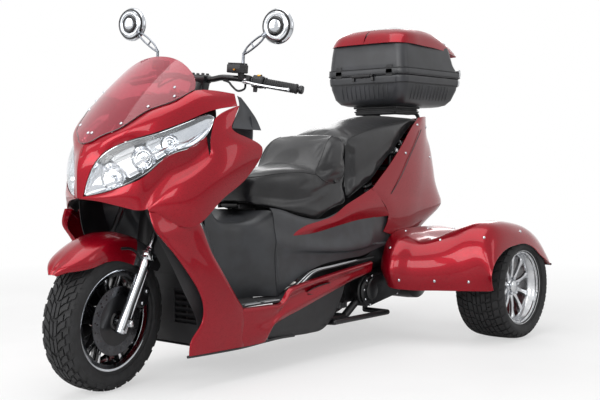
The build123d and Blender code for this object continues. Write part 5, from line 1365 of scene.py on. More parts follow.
def stuffed(name, grid, seams, under, cap, body, stands_for):
    """A cushion from a closed grid: held at its seams and under its pan, and blown up by at most cap millimetres."""
    obj = new_object(name, mesh_of(name, [loft(grid)]))
    remesh = obj.modifiers.new("even faces", "REMESH")
    remesh.mode, remesh.voxel_size = "VOXEL", FACE_SIZE
    obj = as_plain(obj)
    start = points_of(obj)
    marks = np.vstack(both_sides(seams)) * MM
    gap = np.array([np.min(np.linalg.norm(marks - p, axis=1)) for p in start])
    hold = np.maximum(np.clip(1.3 - gap / SEAM_REACH, 0, 1), under(start / MM))
    group = obj.vertex_groups.new(name="held")
    for index in range(len(start)):
        group.add([index], float(hold[index]), "REPLACE")
    cloth = obj.modifiers.new("foam", "CLOTH")
    cloth.settings.use_pressure = True
    cloth.settings.uniform_pressure_force = PRESSURE
    cloth.settings.effector_weights.gravity = 0.0
    cloth.settings.vertex_group_mass = "held"
    cloth.point_cache.frame_start, cloth.point_cache.frame_end = 1, LAST_FRAME
    for frame_number in range(1, LAST_FRAME + 1):
        bpy.context.scene.frame_set(frame_number)
    swollen = points_of(obj.evaluated_get(bpy.context.evaluated_depsgraph_get()))
    obj.modifiers.clear()
    bpy.context.scene.frame_set(1)
    step = swollen - start
    length = np.linalg.norm(step, axis=1, keepdims=True)
    step *= np.minimum(1.0, cap * MM / np.maximum(length, 1e-9)) * (1 - hold)[:, None]
    obj.data.vertices.foreach_set("co", (start + step).astype(np.float32).ravel())
    print(name, "swelled by up to", round(float(np.linalg.norm(step, axis=1).max() / MM), 1), "mm")
    smooth = obj.modifiers.new("smooth", "SMOOTH")
    smooth.factor, smooth.iterations = 0.5, 4
    plain = as_plain(obj)
    mesh = plain.data
    bpy.data.objects.remove(plain)
    mesh.shade_smooth()
    made = finish_piece(name, mesh, SEAT_VINYL, body, stands_for)
    print(name, len(mesh.polygons), "faces")
    return made


def on_pan(points):
    """1 for the points that rest on the rider's pan, 0 for the rest."""
    return (points[:, 2] < 630) * (abs(points[:, 0]) < 150) * 1.0


def free(points):
    """0 for every point: no pan holds the passenger's cushion."""
    return np.zeros(len(points))


rider = stuffed("rider_cushion", rider_grid, SEAMS["rider"], on_pan, 9, "seat", ["rider_seat"])
passenger = stuffed("passenger_cushion", passenger_grid, SEAMS["passenger"], free, 8, "chassis", ["passenger_seat"])

# %% Seams, button and hinge
for name, owner, body in (("rider", rider, "seat"), ("passenger", passenger, "chassis")):
    cords = [tube(laid(owner, line, 0.3), 1.7, 80, 8) for line in both_sides(SEAMS[name])]
    piece(name + "_seat_piping", cords, SEAT_PIPING, body)
button = lathe([(-3, 0.0), (-3, 9.0), (1.5, 9.0), (3.4, 7.6), (3.8, 5.0), (2.6, 3.0), (2.4, 0.0)], ORIGIN,
               UPWARDS, 24)
spot = laid(rider, rear_line([(184, -727, 686)]), 1.0)[0]
on_points("seat_buttons", [(spot, (1, 0, 0.1)), (spot * (-1, 1, 1), (-1, 0, 0.1))], button, 1.0, SATIN_BLACK, "seat")
HINGE_AT = np.array(JOINTS["seat_open"]["pos_m"]) / MM
knuckle = lathe([(-40, 4.5), (-40, 7), (40, 7), (40, 4.5), (-40, 4.5)], HINGE_AT, ACROSS, 24)
leaf = slab([(-38, -2), (38, -2), (34, 26), (-34, 26)], (3.5, 7), HINGE_AT, soften=1.0)
piece("seat_hinge", [knuckle, leaf], SATIN_BLACK, "seat", bevel=0.3)

# %% [markdown]
# ## Top box
#
# The box is blow-moulded: a ribbed, tapering base, a lid with a rim that hooks over the base, silver corner
# caps, and a red strip that runs round the lid's shoulder and ends in a small spoiler. Both halves are stacks of
# rounded-rectangle rings, because then the taper, the rim and the dome are all just rows in one table.

# %% Rings of the box
CORNER = 46.0


def box_ring(z, half, front, back, round_by=CORNER, n=80):
    """Rounded rectangle at height z, half wide, from front to back behind the rear axle."""
    cy, hy = (front + back) / 2, (back - front) / 2
    r = min(round_by, half - 1, hy - 1)
    ring = []
    for sx, sy, start in ((1, 1, 0), (-1, 1, 90), (-1, -1, 180), (1, -1, 270)):
        for k in range(n // 4):
            a = math.radians(start + 90 * k / (n // 4 - 1))
            ring.append((sx * (half - r) + r * math.cos(a), R(cy + sy * (hy - r) + r * math.sin(a)), z))
    return ring


def bead_round(z, half, front, back, radius):
    """Round bead along a ring of the box."""
    ring = box_ring(z, half, front, back, n=96)
    return tube(ring + ring[:1], radius, 240, 8)


BASE = [(1011, 132, -236, 92), (1013, 150, -252, 106), (1020, 172, -273, 126), (1042, 190, -289, 146),
        (1088, 205, -298, 166), (1108, 208, -300, 170), (1110, 212, -302, 174), (1128, 213.5, -303, 177),
        (1134, 214, -303, 178), (1138.5, 213, -302, 177)]
INSIDE = [(1138.5, 209, -298, 173), (1108, 204, -296, 166), (1088, 201, -294, 162), (1042, 186, -285, 142),
          (1024, 168, -269, 122), (1016, 130, -234, 90)]
base_shell = loft([box_ring(*row) for row in BASE + INSIDE])
piece("box_base_shell", [base_shell], BOX_PLASTIC, "chassis", ["top_box_base"], bevel=0.8)
LID = [(1141.5, 211, -299, 178), (1142, 215, -303, 182), (1146, 216, -304, 183), (1165, 216, -304, 182),
       (1170, 214, -303, 180), (1174, 210, -300, 160), (1200, 208, -299, 134), (1240, 204, -296, 118),
       (1272, 200, -292, 108), (1296, 190, -282, 98), (1322, 168, -258, 74), (1346, 132, -216, 30),
       (1362, 88, -160, -34, 50), (1370, 38, -104, -84, 10)]
UNDER_LID = [(1362, 36, -100, -86, 8), (1338, 128, -212, 26), (1318, 164, -254, 70), (1270, 196, -288, 104),
             (1174, 205, -295, 130), (1165, 209, -299, 150), (1150, 211, -299, 178)]
lid_rings = [box_ring(*row) for row in LID + UNDER_LID]
lid_body = loft(lid_rings + lid_rings[:1], False)
piece("box_lid_shell", [lid_body], BOX_PLASTIC, "box_lid", ["top_box_lid"], bevel=0.8)

# %% Red strip and spoiler
STRIP_LOW = rear_line([(0, -303, 1281), (90, -303, 1281), (158, -300, 1280), (194, -276, 1278), (207, -226, 1276),
                       (208, -140, 1272), (206, -50, 1269), (202, 24, 1264), (196, 88, 1258), (186, 146, 1252),
                       (177, 180, 1249)])
STRIP_TOP = rear_line([(0, -250, 1345), (80, -248, 1344), (136, -238, 1342), (160, -214, 1341), (170, -180, 1342),
                       (174, -110, 1342), (176, -36, 1334), (178, 30, 1316), (181, 86, 1291), (180, 138, 1266),
                       (175, 180, 1252)])
strip_mid = between(STRIP_LOW, STRIP_TOP, 0.5, [10, 10, 11, 13, 13, 12, 12, 11, 8, 3, 0.6], (0.45, -0.35, 0.8))
strip_wide = shell(skin([STRIP_LOW, strip_mid, STRIP_TOP], 80, 10), LINER_WALL, (0.4, -0.3, 0.8))
TRAIL = rear_line([(177, 180, 1249), (140, 181, 1247), (70, 182, 1246), (0, 182, 1246)])
LEAD = rear_line([(180, 84, 1293), (140, 80, 1304), (70, 76, 1314), (0, 75, 1316)])
wing_mid = between(TRAIL, LEAD, 0.5, [4, 5, 5, 5], UPWARDS)
wing = shell(skin([TRAIL, wing_mid, LEAD], 44, 10), 4.0, (0, 0.3, 1))
piece("box_red_strip", both(strip_wide) + both(wing), RED_PAINT, "box_lid",
      bevel=1.0)

# %% Corner caps, rim lines, clasps and ribs
corner = []
for sx in (1, -1):
    for z0, z1, body_half, back in ((1146, 1184, 216, 183), (1106, 1136, 214, 178)):
        rows = []
        for z in np.linspace(z0, z1, 5):
            bulge = 3.5 * math.sin(math.pi * (z - z0) / (z1 - z0)) ** 0.4 + 1.0
            reach = CORNER + bulge - (0 if z > 1140 else (1136 - z) * 0.12)
            turn = np.radians(np.linspace(8, 82, 14))
            rows.append(np.stack([sx * (body_half - CORNER + reach * np.cos(turn)),
                                  R(back - CORNER) + reach * np.sin(turn), np.full(14, z)], 1))
        corner.append((shell(np.array(rows), 4, (sx, 0.7, 0)), z0 > 1140))
piece("lid_corner_caps", [c for c, on_lid in corner if on_lid], SILVER_ABS, "box_lid", bevel=0.6)
piece("base_corner_caps", [c for c, on_lid in corner if not on_lid], SILVER_ABS, "chassis", bevel=0.6)


def base_at(z):
    """Half width, front and back of the base at height z."""
    return [np.interp(z, [row[0] for row in BASE], [row[k] for row in BASE]) for k in (1, 2, 3)]


HEIGHTS, RIB_RADII = (1100, 1095, 1072, 1046, 1036), [0.8, 2.8, 3.0, 2.8, 0.8]
lines = [[(x * (0.6 + 0.4 * base_at(z)[0] / 205), R(base_at(z)[end]), z) for z in HEIGHTS]
         for x in np.arange(-125, 126, 25) for end in (1, 2)]
lines += [[(sign * base_at(z)[0], R(d), z) for z in HEIGHTS] for d in np.arange(-216, 90, 25.5) for sign in (1, -1)]
piece("box_base_ribs", [tube(line, RIB_RADII, 14, 8) for line in lines], BOX_PLASTIC, "chassis")
rim = [bead_round(1171, 214.5, -303.5, 174, 1.8), bead_round(1147, 216.5, -304.5, 183.5, 1.8)]
piece("lid_rim_beads", rim, BLACK_PLASTIC, "box_lid")
piece("base_step_bead", [bead_round(1107, 209, -300.5, 170, 2.2)], BLACK_PLASTIC, "chassis")
clasp = slab([(-17, -26), (17, -26), (19, -8), (15, 24), (-15, 24), (-19, -8)], (0, 9), y_axis=UPWARDS, soften=2.5)
clasps = [(clasp[0] * (1, -1, 1) + (x, R(-303) - 1, 1160), clasp[1]) for x in (-138, 138)]
lock = [(clasp[0] * (1.3, 1, 1) + (0, R(181), 1152), clasp[1])]
button = lathe([(0, 0), (0, 8), (5, 8), (6.5, 6.5), (6.5, 0)], (0, R(188), 1156), BACKWARDS, 20)
piece("box_clasps", clasps + lock, BLACK_PLASTIC, "box_lid", bevel=0.6)
piece("box_lock", [button], CHROME, "box_lid", bevel=0.4)
LID_HINGE = np.array(JOINTS["box_lid_open"]["pos_m"]) / MM
knuckles = [lathe([(-44, 4.5), (-44, 7), (44, 7), (44, 4.5), (-44, 4.5)], LID_HINGE, ACROSS, 24),
            slab([(-42, 1), (42, 1), (42, 12), (-42, 12)], (1.5, 7), LID_HINGE, soften=1.0)]
piece("lid_hinge", knuckles, SATIN_BLACK, "box_lid", bevel=0.3)
ends = [lathe([(-6, 0), (-6, 6), (6, 6), (6, 0)], LID_HINGE + (s * 52, 0, 0), ACROSS, 20) for s in (-1, 1)]
ends += [slab([(-6, 0), (6, 0), (6, 11), (-6, 11)], (-22, 0), LID_HINGE + (s * 52, 0, 0), soften=1.0)
         for s in (-1, 1)]
ends.append(lathe([(-56, 0), (-56, 3.6), (56, 3.6), (56, 0)], LID_HINGE, ACROSS, 16))
piece("base_hinge", ends, SATIN_BLACK, "chassis", bevel=0.3)
plates = [slab([(-w, -222 + c), (w, -222 + c), (w, -32 - c), (-w, -32 - c)], (z0, z1), (0, R(0), 0), soften=1.5)
          for w, c, z0, z1 in ((116, 0, 1001, 1009.6), (110, 6, 993, 998.5), (114, 2, 984, 990.5),
                               (106, 8, 985, 1005))]
rails = [tube(rear_line([(104, -214, 980), (104, -120, 980), (106, -44, 978), (110, -34, 960), (112, -34, 932),
                         (118, -80, 888)]), 8.5, 50, 12)]
rails += [mirrored(rails[0]), tube(rear_line([(-104, -212, 980), (104, -212, 980)]), 8.5, 8, 12)]
piece("luggage_rack_plates", plates + rails, BLACK_PLASTIC, "chassis", ["luggage_rack"], bevel=0.5)

# %% [markdown]
# ## Leg shield, floor and wheel well
#
# Seen past the leg panel there is a charcoal shield with a bright trim line down its edge, partly a real silver
# trim and partly a painted highlight of that edge, then the rubber floor with its ribs and light strips. Ahead of
# it a black well with louvres closes the space behind the front wheel.
# The same IN_ROW tree lays the ribs and the louvres.

# %% Leg shield
SHIELD = [[(257, 340, 712), (257, 186, 604), (257, 222, 520), (257, 264, 431), (257, 330, 342), (257, 396, 256)],
          [(238, 342, 716), (238, 218, 606), (238, 258, 522), (238, 300, 433), (238, 354, 344), (238, 399, 258)],
          [(194, 346, 720), (194, 256, 606), (194, 300, 522), (194, 342, 433), (194, 376, 344), (194, 399, 258)],
          [(150, 348, 720), (150, 262, 604), (150, 306, 522), (150, 346, 433), (150, 378, 344), (150, 400, 258)],
          [(134, 350, 720), (134, 290, 604), (134, 318, 522), (134, 350, 433), (134, 376, 344), (134, 400, 258)],
          [(120, 352, 720), (120, 352, 604), (120, 352, 522), (120, 358, 433), (120, 366, 344), (120, 400, 258)],
          [(0, 352, 720), (0, 356, 604), (0, 356, 522), (0, 356, 433), (0, 364, 344), (0, 400, 258)]]
shield = shell(skin([front_line(line) for line in SHIELD], 40, 44), LINER_WALL, (0, 1, 0.2))
upper = shell(skin([front_line([(x, 350 + lean, 716), (x, 392 + lean, 766), (x, 416 + lean, 850),
                                (x, 412 + lean, 924)])
                    for x, lean in ((330, -26), (250, -8), (150, 2), (0, 6))], 40, 30), 3.0, BACKWARDS)
piece("leg_shield_skin", both(shield) + both(upper), GREY_PLASTIC, "chassis",
      ["inner_leg_shield"], bevel=0.8)
# silver tube down the shield's edge: partly a real trim, partly a painted highlight of the leg panel's rear edge
trim = tube(front_line([(262, 186, 598), (264, 216, 530), (264, 258, 446), (264, 326, 350), (262, 394, 262)]), 2.6,
            50, 8)
piece("shield_trim", both(trim), SILVER_ABS, "chassis")

# %% Floor mats, ribs and strips
MAT_OUT = front_line([(258, 402, 259), (258, 520, 259), (258, 620, 259), (258, 664, 270), (257, 740, 306),
                      (255, 815, 343), (250, 960, 356), (242, 1090, 364), (232, 1226, 371)])
MAT_IN = front_line([(112, 402, 259), (112, 520, 259), (120, 610, 259), (180, 664, 270), (214, 740, 306),
                     (216, 815, 343), (214, 960, 356), (212, 1090, 364), (208, 1226, 371)])
mat = shell(skin([MAT_OUT, between(MAT_OUT, MAT_IN, 0.12, [2] * 9, UPWARDS),
                  between(MAT_OUT, MAT_IN, 0.5, [0.5] * 9, UPWARDS), MAT_IN], 64, 12), 4.5, UPWARDS)
piece("floor_mats", both(mat), MAT_RUBBER, "chassis", ["footboards"], bevel=0.8)
for side, start in (("left", 128.0), ("right", -224.0)):
    rib = tube(front_line([(start, 412, 260.2), (start, 520, 260.8), (start, 600, 260.2)]), 3.2, 16, 8)
    repeated(side + "_mat_ribs", [rib], IN_ROW, {"Count": 7, "Step": (0.016, 0.0, 0.0)}, MAT_RUBBER, "chassis")
strips = [slab([(0, -5), (length, -5), (length, 5), (0, 5)], (0, 3.0), (x, F(d), 260.5), BACKWARDS, (-1, 0, 0), 1.5)
          for x in (236, 250) for d, length in ((424, 84), (526, 84))]
rails = [tube(front_line([(x, 668, 276 + lift), (x, 740, 311 + lift), (x - 2, 815, 346 + lift),
                          (x - 8, 960, 358 + lift), (x - 18, 1120, 366 + lift)]), 2.4, 50, 8)
         for x, lift in ((252, 0), (238, 0))]
piece("floor_strips", both(*strips, *rails), SILVER_ABS, "chassis")

# %% Wheel well and belly
WELL_FACE = F(287)
plate = lambda outline: slab(outline, (-4, 0), (0, WELL_FACE, 0), ACROSS, UPWARDS, 1.0)
plates = [plate([(-240, 316), (240, 316), (236, 366), (200, 371), (-200, 371), (-236, 366)]),
          plate([(-240, 128), (240, 128), (240, 199), (-240, 199)]),
          plate([(-38, 198), (38, 198), (38, 317), (-38, 317)])]
plates += [plate([(s * 190, 198), (s * 240, 198), (s * 240, 317), (s * 190, 317)]) for s in (-1, 1)]
arch = shell(skin([front_line([(x, 287 - fall, 366), (x, 291 - fall, 440), (x, 296 - fall, 510),
                               (x, 314 - fall, 604)])
                   for x, fall in ((0, 0), (90, 0), (122, 6), (134, 26))], 40, 20), LINER_WALL, (0, -1, 0))
piece("well_skin", plates + both(arch), BLACK_PLASTIC, "chassis", ["wheel_well"],
      bevel=0.8)
for side, middle in (("left", 114), ("right", -114)):
    slat = slab([(-76, -11), (76, -11), (76, 11), (-76, 11)], (-1.4, 1.4), (middle, F(294), 206), ACROSS,
                (0, -0.75, 0.66), 1.2)
    repeated(side + "_louvres", [slat], IN_ROW, {"Count": 6, "Step": (0.0, 0.0, 0.021)}, BLACK_PLASTIC, "chassis")
BEADS = (420, 440, 600, 620, 780, 800)


def pan_height(x, d):
    """Height of the belly pan: turned up at its sides and pressed up in three beads across."""
    return 118 + (12 if abs(x) > 240 else 0) + (2.5 if d in BEADS and abs(x) < 180 else 0)


pan_rows = [[(x, F(d), pan_height(x, d)) for x in (-244, -192, -150, 0, 150, 192, 244)]
            for d in (296, 410, 420, 440, 450, 590, 600, 620, 630, 770, 780, 800, 810, 898)]
pan = shell(skin(pan_rows, 24, 80), PANEL_WALL, (0, 0, -1))
piece("belly_skin", [pan], BLACK_PLASTIC, "chassis", ["belly_pan"], bevel=0.8)

# %% [markdown]
# ## Black liners
#
# Real cowls are lined. Behind each flank and leg panel a black moulding keeps the daylight out, so the wheel
# arch reads dark and the panels show as thin red skins.

# %% Liners
inside = lambda line, by: np.array([(max(abs(x) - by, 0), y, z) for x, y, z in line])
liner_grid = skin([inside(front_line(line), gap) for line, gap in (
    ([(196, 30, 640), (222, 60, 548), (238, 110, 446), (246, 170, 330), (246, 226, 230), (244, 240, 130)], 34),
    ([(256, 112, 640), (262, 150, 548), (266, 200, 446), (270, 262, 330), (270, 300, 230), (266, 300, 130)], 30),
    ([(262, 186, 640), (264, 214, 548), (264, 262, 446), (264, 326, 330), (264, 380, 240), (262, 386, 130)], 24))],
    50, 20)
liner = shell(liner_grid, 2.5, (-1, 0, 0))
piece("cowl_liners", both(liner), BLACK_PLASTIC, "chassis", bevel=0.6)

# %% [markdown]
# ## Engine, axle, shocks and exhaust
#
# The engine hangs between the rails under the seat. What shows is its left cover, a flat oblong casting with a
# ribbed face and a ring of bolts, the fins of the cylinder, the muffler with its shield and the coil springs.

# %% Engine
CVT = [(R(-330) + 62 * math.sin(a), 250 + 62 * math.cos(a)) for a in np.linspace(0.1, math.pi - 0.1, 14)]
CVT += [(R(-506) - 68 * math.sin(a), 225 - 68 * math.cos(a)) for a in np.linspace(0.1, math.pi - 0.1, 14)]
CVT_MID = (R(-418), 238)


def drawn_in(by):
    """The cover's outline drawn in towards its middle."""
    return [(y + (CVT_MID[0] - y) * by, z + (CVT_MID[1] - z) * by) for y, z in CVT]


case = [slab(drawn_in(by), lift, ORIGIN, BACKWARDS, UPWARDS, soft)
        for by, lift, soft in ((0, (122, 176), 5), (0.04, (174, 192), 7), (0.22, (190, 199), 5))]
case += [lathe([(190, 0), (190, 40), (198, 38), (201, 30), (201, 0)], (0, R(-506), 225), ACROSS, 40),
         lathe([(190, 0), (190, 34), (198, 32), (201, 24), (201, 0)], (0, R(-330), 250), ACROSS, 40)]
block_rings = [[(x, R(y), z) for x, z in ((-118, 178), (118, 178), (128, 192), (128, top - 14), (114, top),
                                          (-114, top), (-128, top - 14), (-128, 192))]
               for y, top in ((-606, 330), (-560, 356), (-470, 372), (-400, 400), (-320, 410), (-240, 392),
                              (-206, 350))]
case.append(loft(block_rings))
case.append(lathe([(0, 0), (0, 15), (14, 14), (17, 10), (17, 0)], (176, R(-420), 286), (1, 0, 0.3), 24))
piece("engine_castings", case, SATIN_BLACK, "chassis", ["engine_block"], bevel=1.5)
fin = slab([(-104, -84), (104, -84), (104, 84), (-104, 84)], (-1.6, 1.6), (0, R(-560), 236), ACROSS, UPWARDS, 1.0)
repeated("cylinder_fins", [fin], IN_ROW, {"Count": 5, "Step": (0.0, -0.0105, 0.0)}, CAST, "chassis")
edge_spots = [((194, y, z), ACROSS) for y, z in drawn_in(0.10)[::3]]
on_points("engine_bolts", edge_spots, DOME, 1.0, CHROME, "chassis")

# %% Exhaust
start, end = np.array((-292.0, R(-440), 190)), np.array((-292.0, R(-70), 205))
reach = end - start
can = lathe([(0, 0), (0, 30), (8, 41), (20, 45.5), (330, 45.5), (348, 43), (362, 34), (366, 20), (386, 19.5),
             (388, 17), (372, 16.5), (366, 0)], start, reach, 56)
bands = [lathe([(s, 45), (s, 47), (s + 12, 47), (s + 12, 45), (s, 45)], start, reach, 56) for s in (24, 316)]
header = tube([(-132, R(-556), 232), (-176, R(-596), 206), (-240, R(-590), 190), (-286, R(-540), 187),
               (-292, R(-436), 190)], 19, 60, 20)
piece("exhaust_can", [can] + bands + [header], MUFFLER_STEEL, "chassis", ["exhaust"], bevel=0.6)
guard_rows = [[start + reach * share + (math.sin(a) * -50, 0, math.cos(a) * 50) for share in (0.12, 0.3, 0.6, 0.84)]
              for a in np.linspace(-0.3, 1.9, 8)]
black_shell = shell(skin(guard_rows, 30, 20), 2.0, (-1, 0, 0.6))
guard_spots = [(start + reach * share + (-51.5 * math.sin(a), 0, 51.5 * math.cos(a)), (-math.sin(a), 0, math.cos(a)))
               for share in (0.2, 0.78) for a in (0.1, 1.5)]
piece("exhaust_guard", [black_shell], SATIN_BLACK, "chassis", bevel=0.8)
on_points("guard_bolts", guard_spots, DOME, 1.1, CHROME, "chassis")

# %% Axle and coil springs
beam = lathe([(-520, 0), (-520, 34), (-500, 35.5), (-130, 35.5), (-96, 60), (-84, 88), (-40, 91.5), (40, 91.5),
              (84, 88), (96, 60), (130, 35.5), (500, 35.5), (520, 34), (520, 0)], REAR_AXLE * (0, 1, 1), ACROSS, 56)
stubs = lathe([(-(REAR_AXLE[0] + 55), 0), (-(REAR_AXLE[0] + 55), 14.5), (REAR_AXLE[0] + 55, 14.5),
               (REAR_AXLE[0] + 55, 0)], REAR_AXLE * (0, 1, 1), ACROSS, 32)
nose_case = loft([[(x * w, R(y), 226 + z * h) for x, z in ((-50, -32), (50, -32), (58, -20), (58, 20), (50, 32),
                                                          (-50, 32), (-58, 20), (-58, -20))]
                  for y, w, h in ((-192, 0.8, 0.8), (-150, 0.9, 1.0), (-60, 1.0, 1.1))])
COILS, COIL_R = 11, 21.0
springs, rods = [], []
low, high = np.array((66.0, R(-6), REAR_AXLE[2] + 60)), np.array((66.0, R(-222), 738.0))
for sign in (-1, 1):
    a, b = low * (sign, 1, 1), high * (sign, 1, 1)
    line = (b - a) / np.linalg.norm(b - a)
    u, v = axes_for(line)
    size = np.linalg.norm(b - a)
    turns = np.linspace(0, COILS * 2 * math.pi, 240)
    coil = [a + line * size * (0.36 + 0.50 * k / turns[-1]) + COIL_R * (math.cos(k) * u + math.sin(k) * v)
            for k in turns]
    springs.append(tube(coil, 4.6, 260, 7))
    rods.append(lathe([(size * 0.08, 0), (size * 0.08, 11), (size * 0.33, 11.5), (size * 0.34, 25), (size * 0.36, 25),
                       (size * 0.37, 14), (size * 0.84, 14), (size * 0.85, 25), (size * 0.88, 25), (size * 0.90, 12),
                       (size * 0.99, 11), (size * 0.99, 0)], a, line, 28))
piece("axle_beam", [beam, stubs, nose_case], SATIN_BLACK, "chassis", ["rear_axle"], bevel=1.0)
piece("shock_bodies", rods, SATIN_BLACK, "chassis", ["rear_shocks"], bevel=0.6)
piece("shock_springs", springs, SILVER_ABS, "chassis")

# %% Instrument panel
DASH_ROWS = [front_line([(x * w, d, z - fall) for x, fall in ((-1, 16), (-0.9, 6), (-0.5, 0), (0, -2), (0.5, 0),
                                                              (0.9, 6), (1, 16))])
             for d, z, w in ((153, 906, 148), (155, 952, 150), (196, 982, 166), (238, 1004, 180), (290, 998, 196),
                             (326, 986, 203), (338, 968, 203), (339, 908, 203))]
dash = shell(skin(DASH_ROWS, 44, 44), LINER_WALL, UPWARDS)
piece("dash_skin", [dash], BLACK_PLASTIC, "chassis", ["instrument_panel"], bevel=0.8)
tilt = np.array((0, 0.34, 0.94))
u, v = axes_for(tilt)
rings, cards, marks = [], [], []
for x, r in ((-74, 44), (74, 44), (0, 26)):
    at = np.array((x, F(296), 1000))
    rings.append(lathe([(-4, r - 3), (-4, r), (5, r + 2), (7, r), (5, r - 4), (-4, r - 3)], at, tilt, 48))
    cards.append(lathe([(-4, 0), (-4, r - 2), (-1, r - 2), (-1, 0)], at, tilt, 40))
    for a in np.radians(np.linspace(-140, 140, 17)):
        out = u * math.cos(a) + v * math.sin(a)
        marks.append(tube([at + out * (r - 10), at + out * (r - 5)], 0.9, 2, 6))
    marks.append(tube([at + tilt * 2, at + tilt * 2 + (u * 0.6 + v * 0.5) * (r - 14)], [1.6, 0.6], 4, 6))
piece("dial_rings", rings, CHROME, "chassis", bevel=0.4)
piece("dial_cards", cards, DIAL_FACE, "chassis")
piece("dial_marks", marks, PLATE_WHITE, "chassis")
lock = lathe([(0, 0), (0, 15), (7, 14), (9, 10), (6, 8), (6, 0)], (96, F(421), 820), (0, 1, 0.1), 30)
piece("ignition_lock", [lock], CHROME, "chassis")
print("inner pieces done:", len(MADE))

# %% [markdown]
# ## Bars and mirrors
#
# The bar is a bent tube with ribbed rubber grips, a switch box and a lever perch on each side. A mirror hangs
# on a flat, slotted stem; its back is a chrome bowl with a raised ring, and two satin black rings on that bowl are
# painted reflection, dark bands laid on the chrome. All of it is drawn straight ahead and turned with the steering.

# %% Grips, switch boxes and levers
BAR_Y = STEER_POINT[1] + (1072 - STEER_POINT[2]) * STEER_UP[1] / STEER_UP[2]
BAR_IN, BAR_OUT = np.array((200, BAR_Y + 18, 1077)), np.array((380, BAR_Y + 78, 1054))
BAR_LINE = (BAR_OUT - BAR_IN) / np.linalg.norm(BAR_OUT - BAR_IN)


def at_bar(x, lift=0.0, ahead=0.0):
    """Point at the straight outer end of the left bar, x from the middle of the machine."""
    return BAR_IN + (BAR_OUT - BAR_IN) * (x - 200) / 180 + np.array((0, -ahead, lift))


bar = tube([(0, BAR_Y, 1072), (60, BAR_Y - 1, 1074), (96, BAR_Y - 1, 1081), (150, BAR_Y + 6, 1081), at_bar(205),
            at_bar(260), at_bar(320), at_bar(379)], 11, 90, 16)
clamp = slab([(-34, -24), (34, -24), (36, 0), (34, 24), (-34, 24), (-36, 0)], (-14, 16), (0, BAR_Y, 1072), soften=4)
bolts = [lathe([(14, 0), (14, 6), (21, 6), (22.5, 4.5), (22.5, 0)], (x, BAR_Y + y, 1072), UPWARDS, 16)
         for x in (-22, 22) for y in (-14, 14)]
riser = loft([box_ring(z, w, BAR_Y - R(0) - d, BAR_Y - R(0) + d, 10, 40) for z, w, d in
              ((1030, 30, 20), (1042, 31, 21), (1060, 33, 23), (1066, 33, 23))])
piece("handlebar_tube", both(bar) + [clamp, riser] + bolts, SATIN_BLACK, "steering",
      ["handlebar"], steered=True, bevel=0.6)
length = np.linalg.norm(at_bar(376) - at_bar(262))
profile = [(0, 11.4), (0, 19), (1.5, 20.5), (4, 20.5), (5.5, 17)]
for k in range(14):
    s = 9 + k * (length - 22) / 14
    profile += [(s, 16.2), (s + 1.2, 17.3), (s + 4.6, 17.3), (s + 5.8, 16.2)]
profile += [(length - 9, 17), (length - 7, 18.2), (length - 2, 18.2), (length, 16.5), (length, 11.4), (0, 11.4)]
grip = lathe(profile, at_bar(262), BAR_LINE, 40)
piece("bar_grips", both(grip), GRIP_RUBBER, "steering", ["handlebar_grips"], steered=True)
weight = lathe([(0, 0), (0, 14), (3, 15.5), (12, 15.5), (16, 12), (17, 0)], at_bar(381), BAR_LINE, 28)
piece("bar_end_weights", both(weight), SATIN_BLACK, "steering", steered=True, bevel=0.4)

box_up = np.cross(BAR_LINE, BACKWARDS)
box_up = -box_up if box_up[2] < 0 else box_up
switch = slab([(-20, -21), (20, -21), (25, -8), (25, 12), (17, 22), (-12, 23), (-23, 12), (-24, -10)], (-20, 20),
              at_bar(238), np.cross(box_up, BAR_LINE), box_up, 4)
perch = slab([(-16, -14), (18, -14), (26, 2), (18, 16), (-10, 18), (-20, 6)], (-13, 13), at_bar(200, 0, 4),
             np.cross(box_up, BAR_LINE), box_up, 3)
tank = slab([(-30, -24), (26, -24), (31, -14), (31, 16), (25, 24), (-25, 24), (-31, 14), (-32, -16)], (-17, 14),
            (176, BAR_Y - 13, 1116), ACROSS, (0.1, 1, 0), 2.5)
cap = slab([(-28, -22), (24, -22), (28, -13), (28, 15), (22, 22), (-23, 22), (-28, 13), (-29, -14)], (14, 19),
           (176, BAR_Y - 13, 1116), ACROSS, (0.1, 1, 0), 1.2)
neck = lathe([(0, 0), (0, 12), (28, 12), (30, 14), (30, 0)], (186, BAR_Y - 2, 1078), (0, -0.25, 1), 24)
choke = slab([(-7, -34), (6, -34), (9, -24), (7, -8), (-8, -8)], (-5, 5), at_bar(231, -4, 6), BACKWARDS,
             UPWARDS, 1.5)
horn = lathe([(0, 0), (0, 7), (6, 7), (8, 5), (8, 0)], at_bar(246, 4, -20), (0, 1, 0.1), 20)
toggle = slab([(-4, 0), (4, 0), (3, 9), (-3, 9)], (-6, 6), at_bar(240, 18, -8), BACKWARDS, UPWARDS, 1)
loom = tube([(190, BAR_Y + 18, 1062), (196, BAR_Y + 4, 1044), (182, BAR_Y - 14, 1036), (152, BAR_Y - 10, 1052),
             (128, BAR_Y + 2, 1066), (104, BAR_Y + 2, 1072)], 4.0, 40, 8)
controls = both(switch, perch, tank, cap, neck, horn, loom) + [choke, toggle]
piece("switches_and_tanks", controls, BLACK_PLASTIC, "steering", ["handlebar_controls"],
      steered=True, bevel=0.7)
lever_line = [at_bar(198, -5, 22), at_bar(212, -6, 38), at_bar(240, -8, 50), at_bar(290, -8, 56), at_bar(345, -7, 55),
              at_bar(372, -6, 58)]
lever = tube(lever_line, [7, 6.2, 5.0, 4.6, 4.8, 6.4], 60, 12)
knob = lathe([(-6.8, 0), (-5, 5), (0, 6.8), (5, 5), (6.8, 0)], lever_line[-1], ACROSS, 20, 12)
pivot = lathe([(-9, 0), (-9, 6), (9, 6), (9, 0)], at_bar(203, -5, 24), UPWARDS, 16)
piece("brake_levers", both(lever, knob, pivot), POLISHED, "steering",
      steered=True, bevel=0.3)
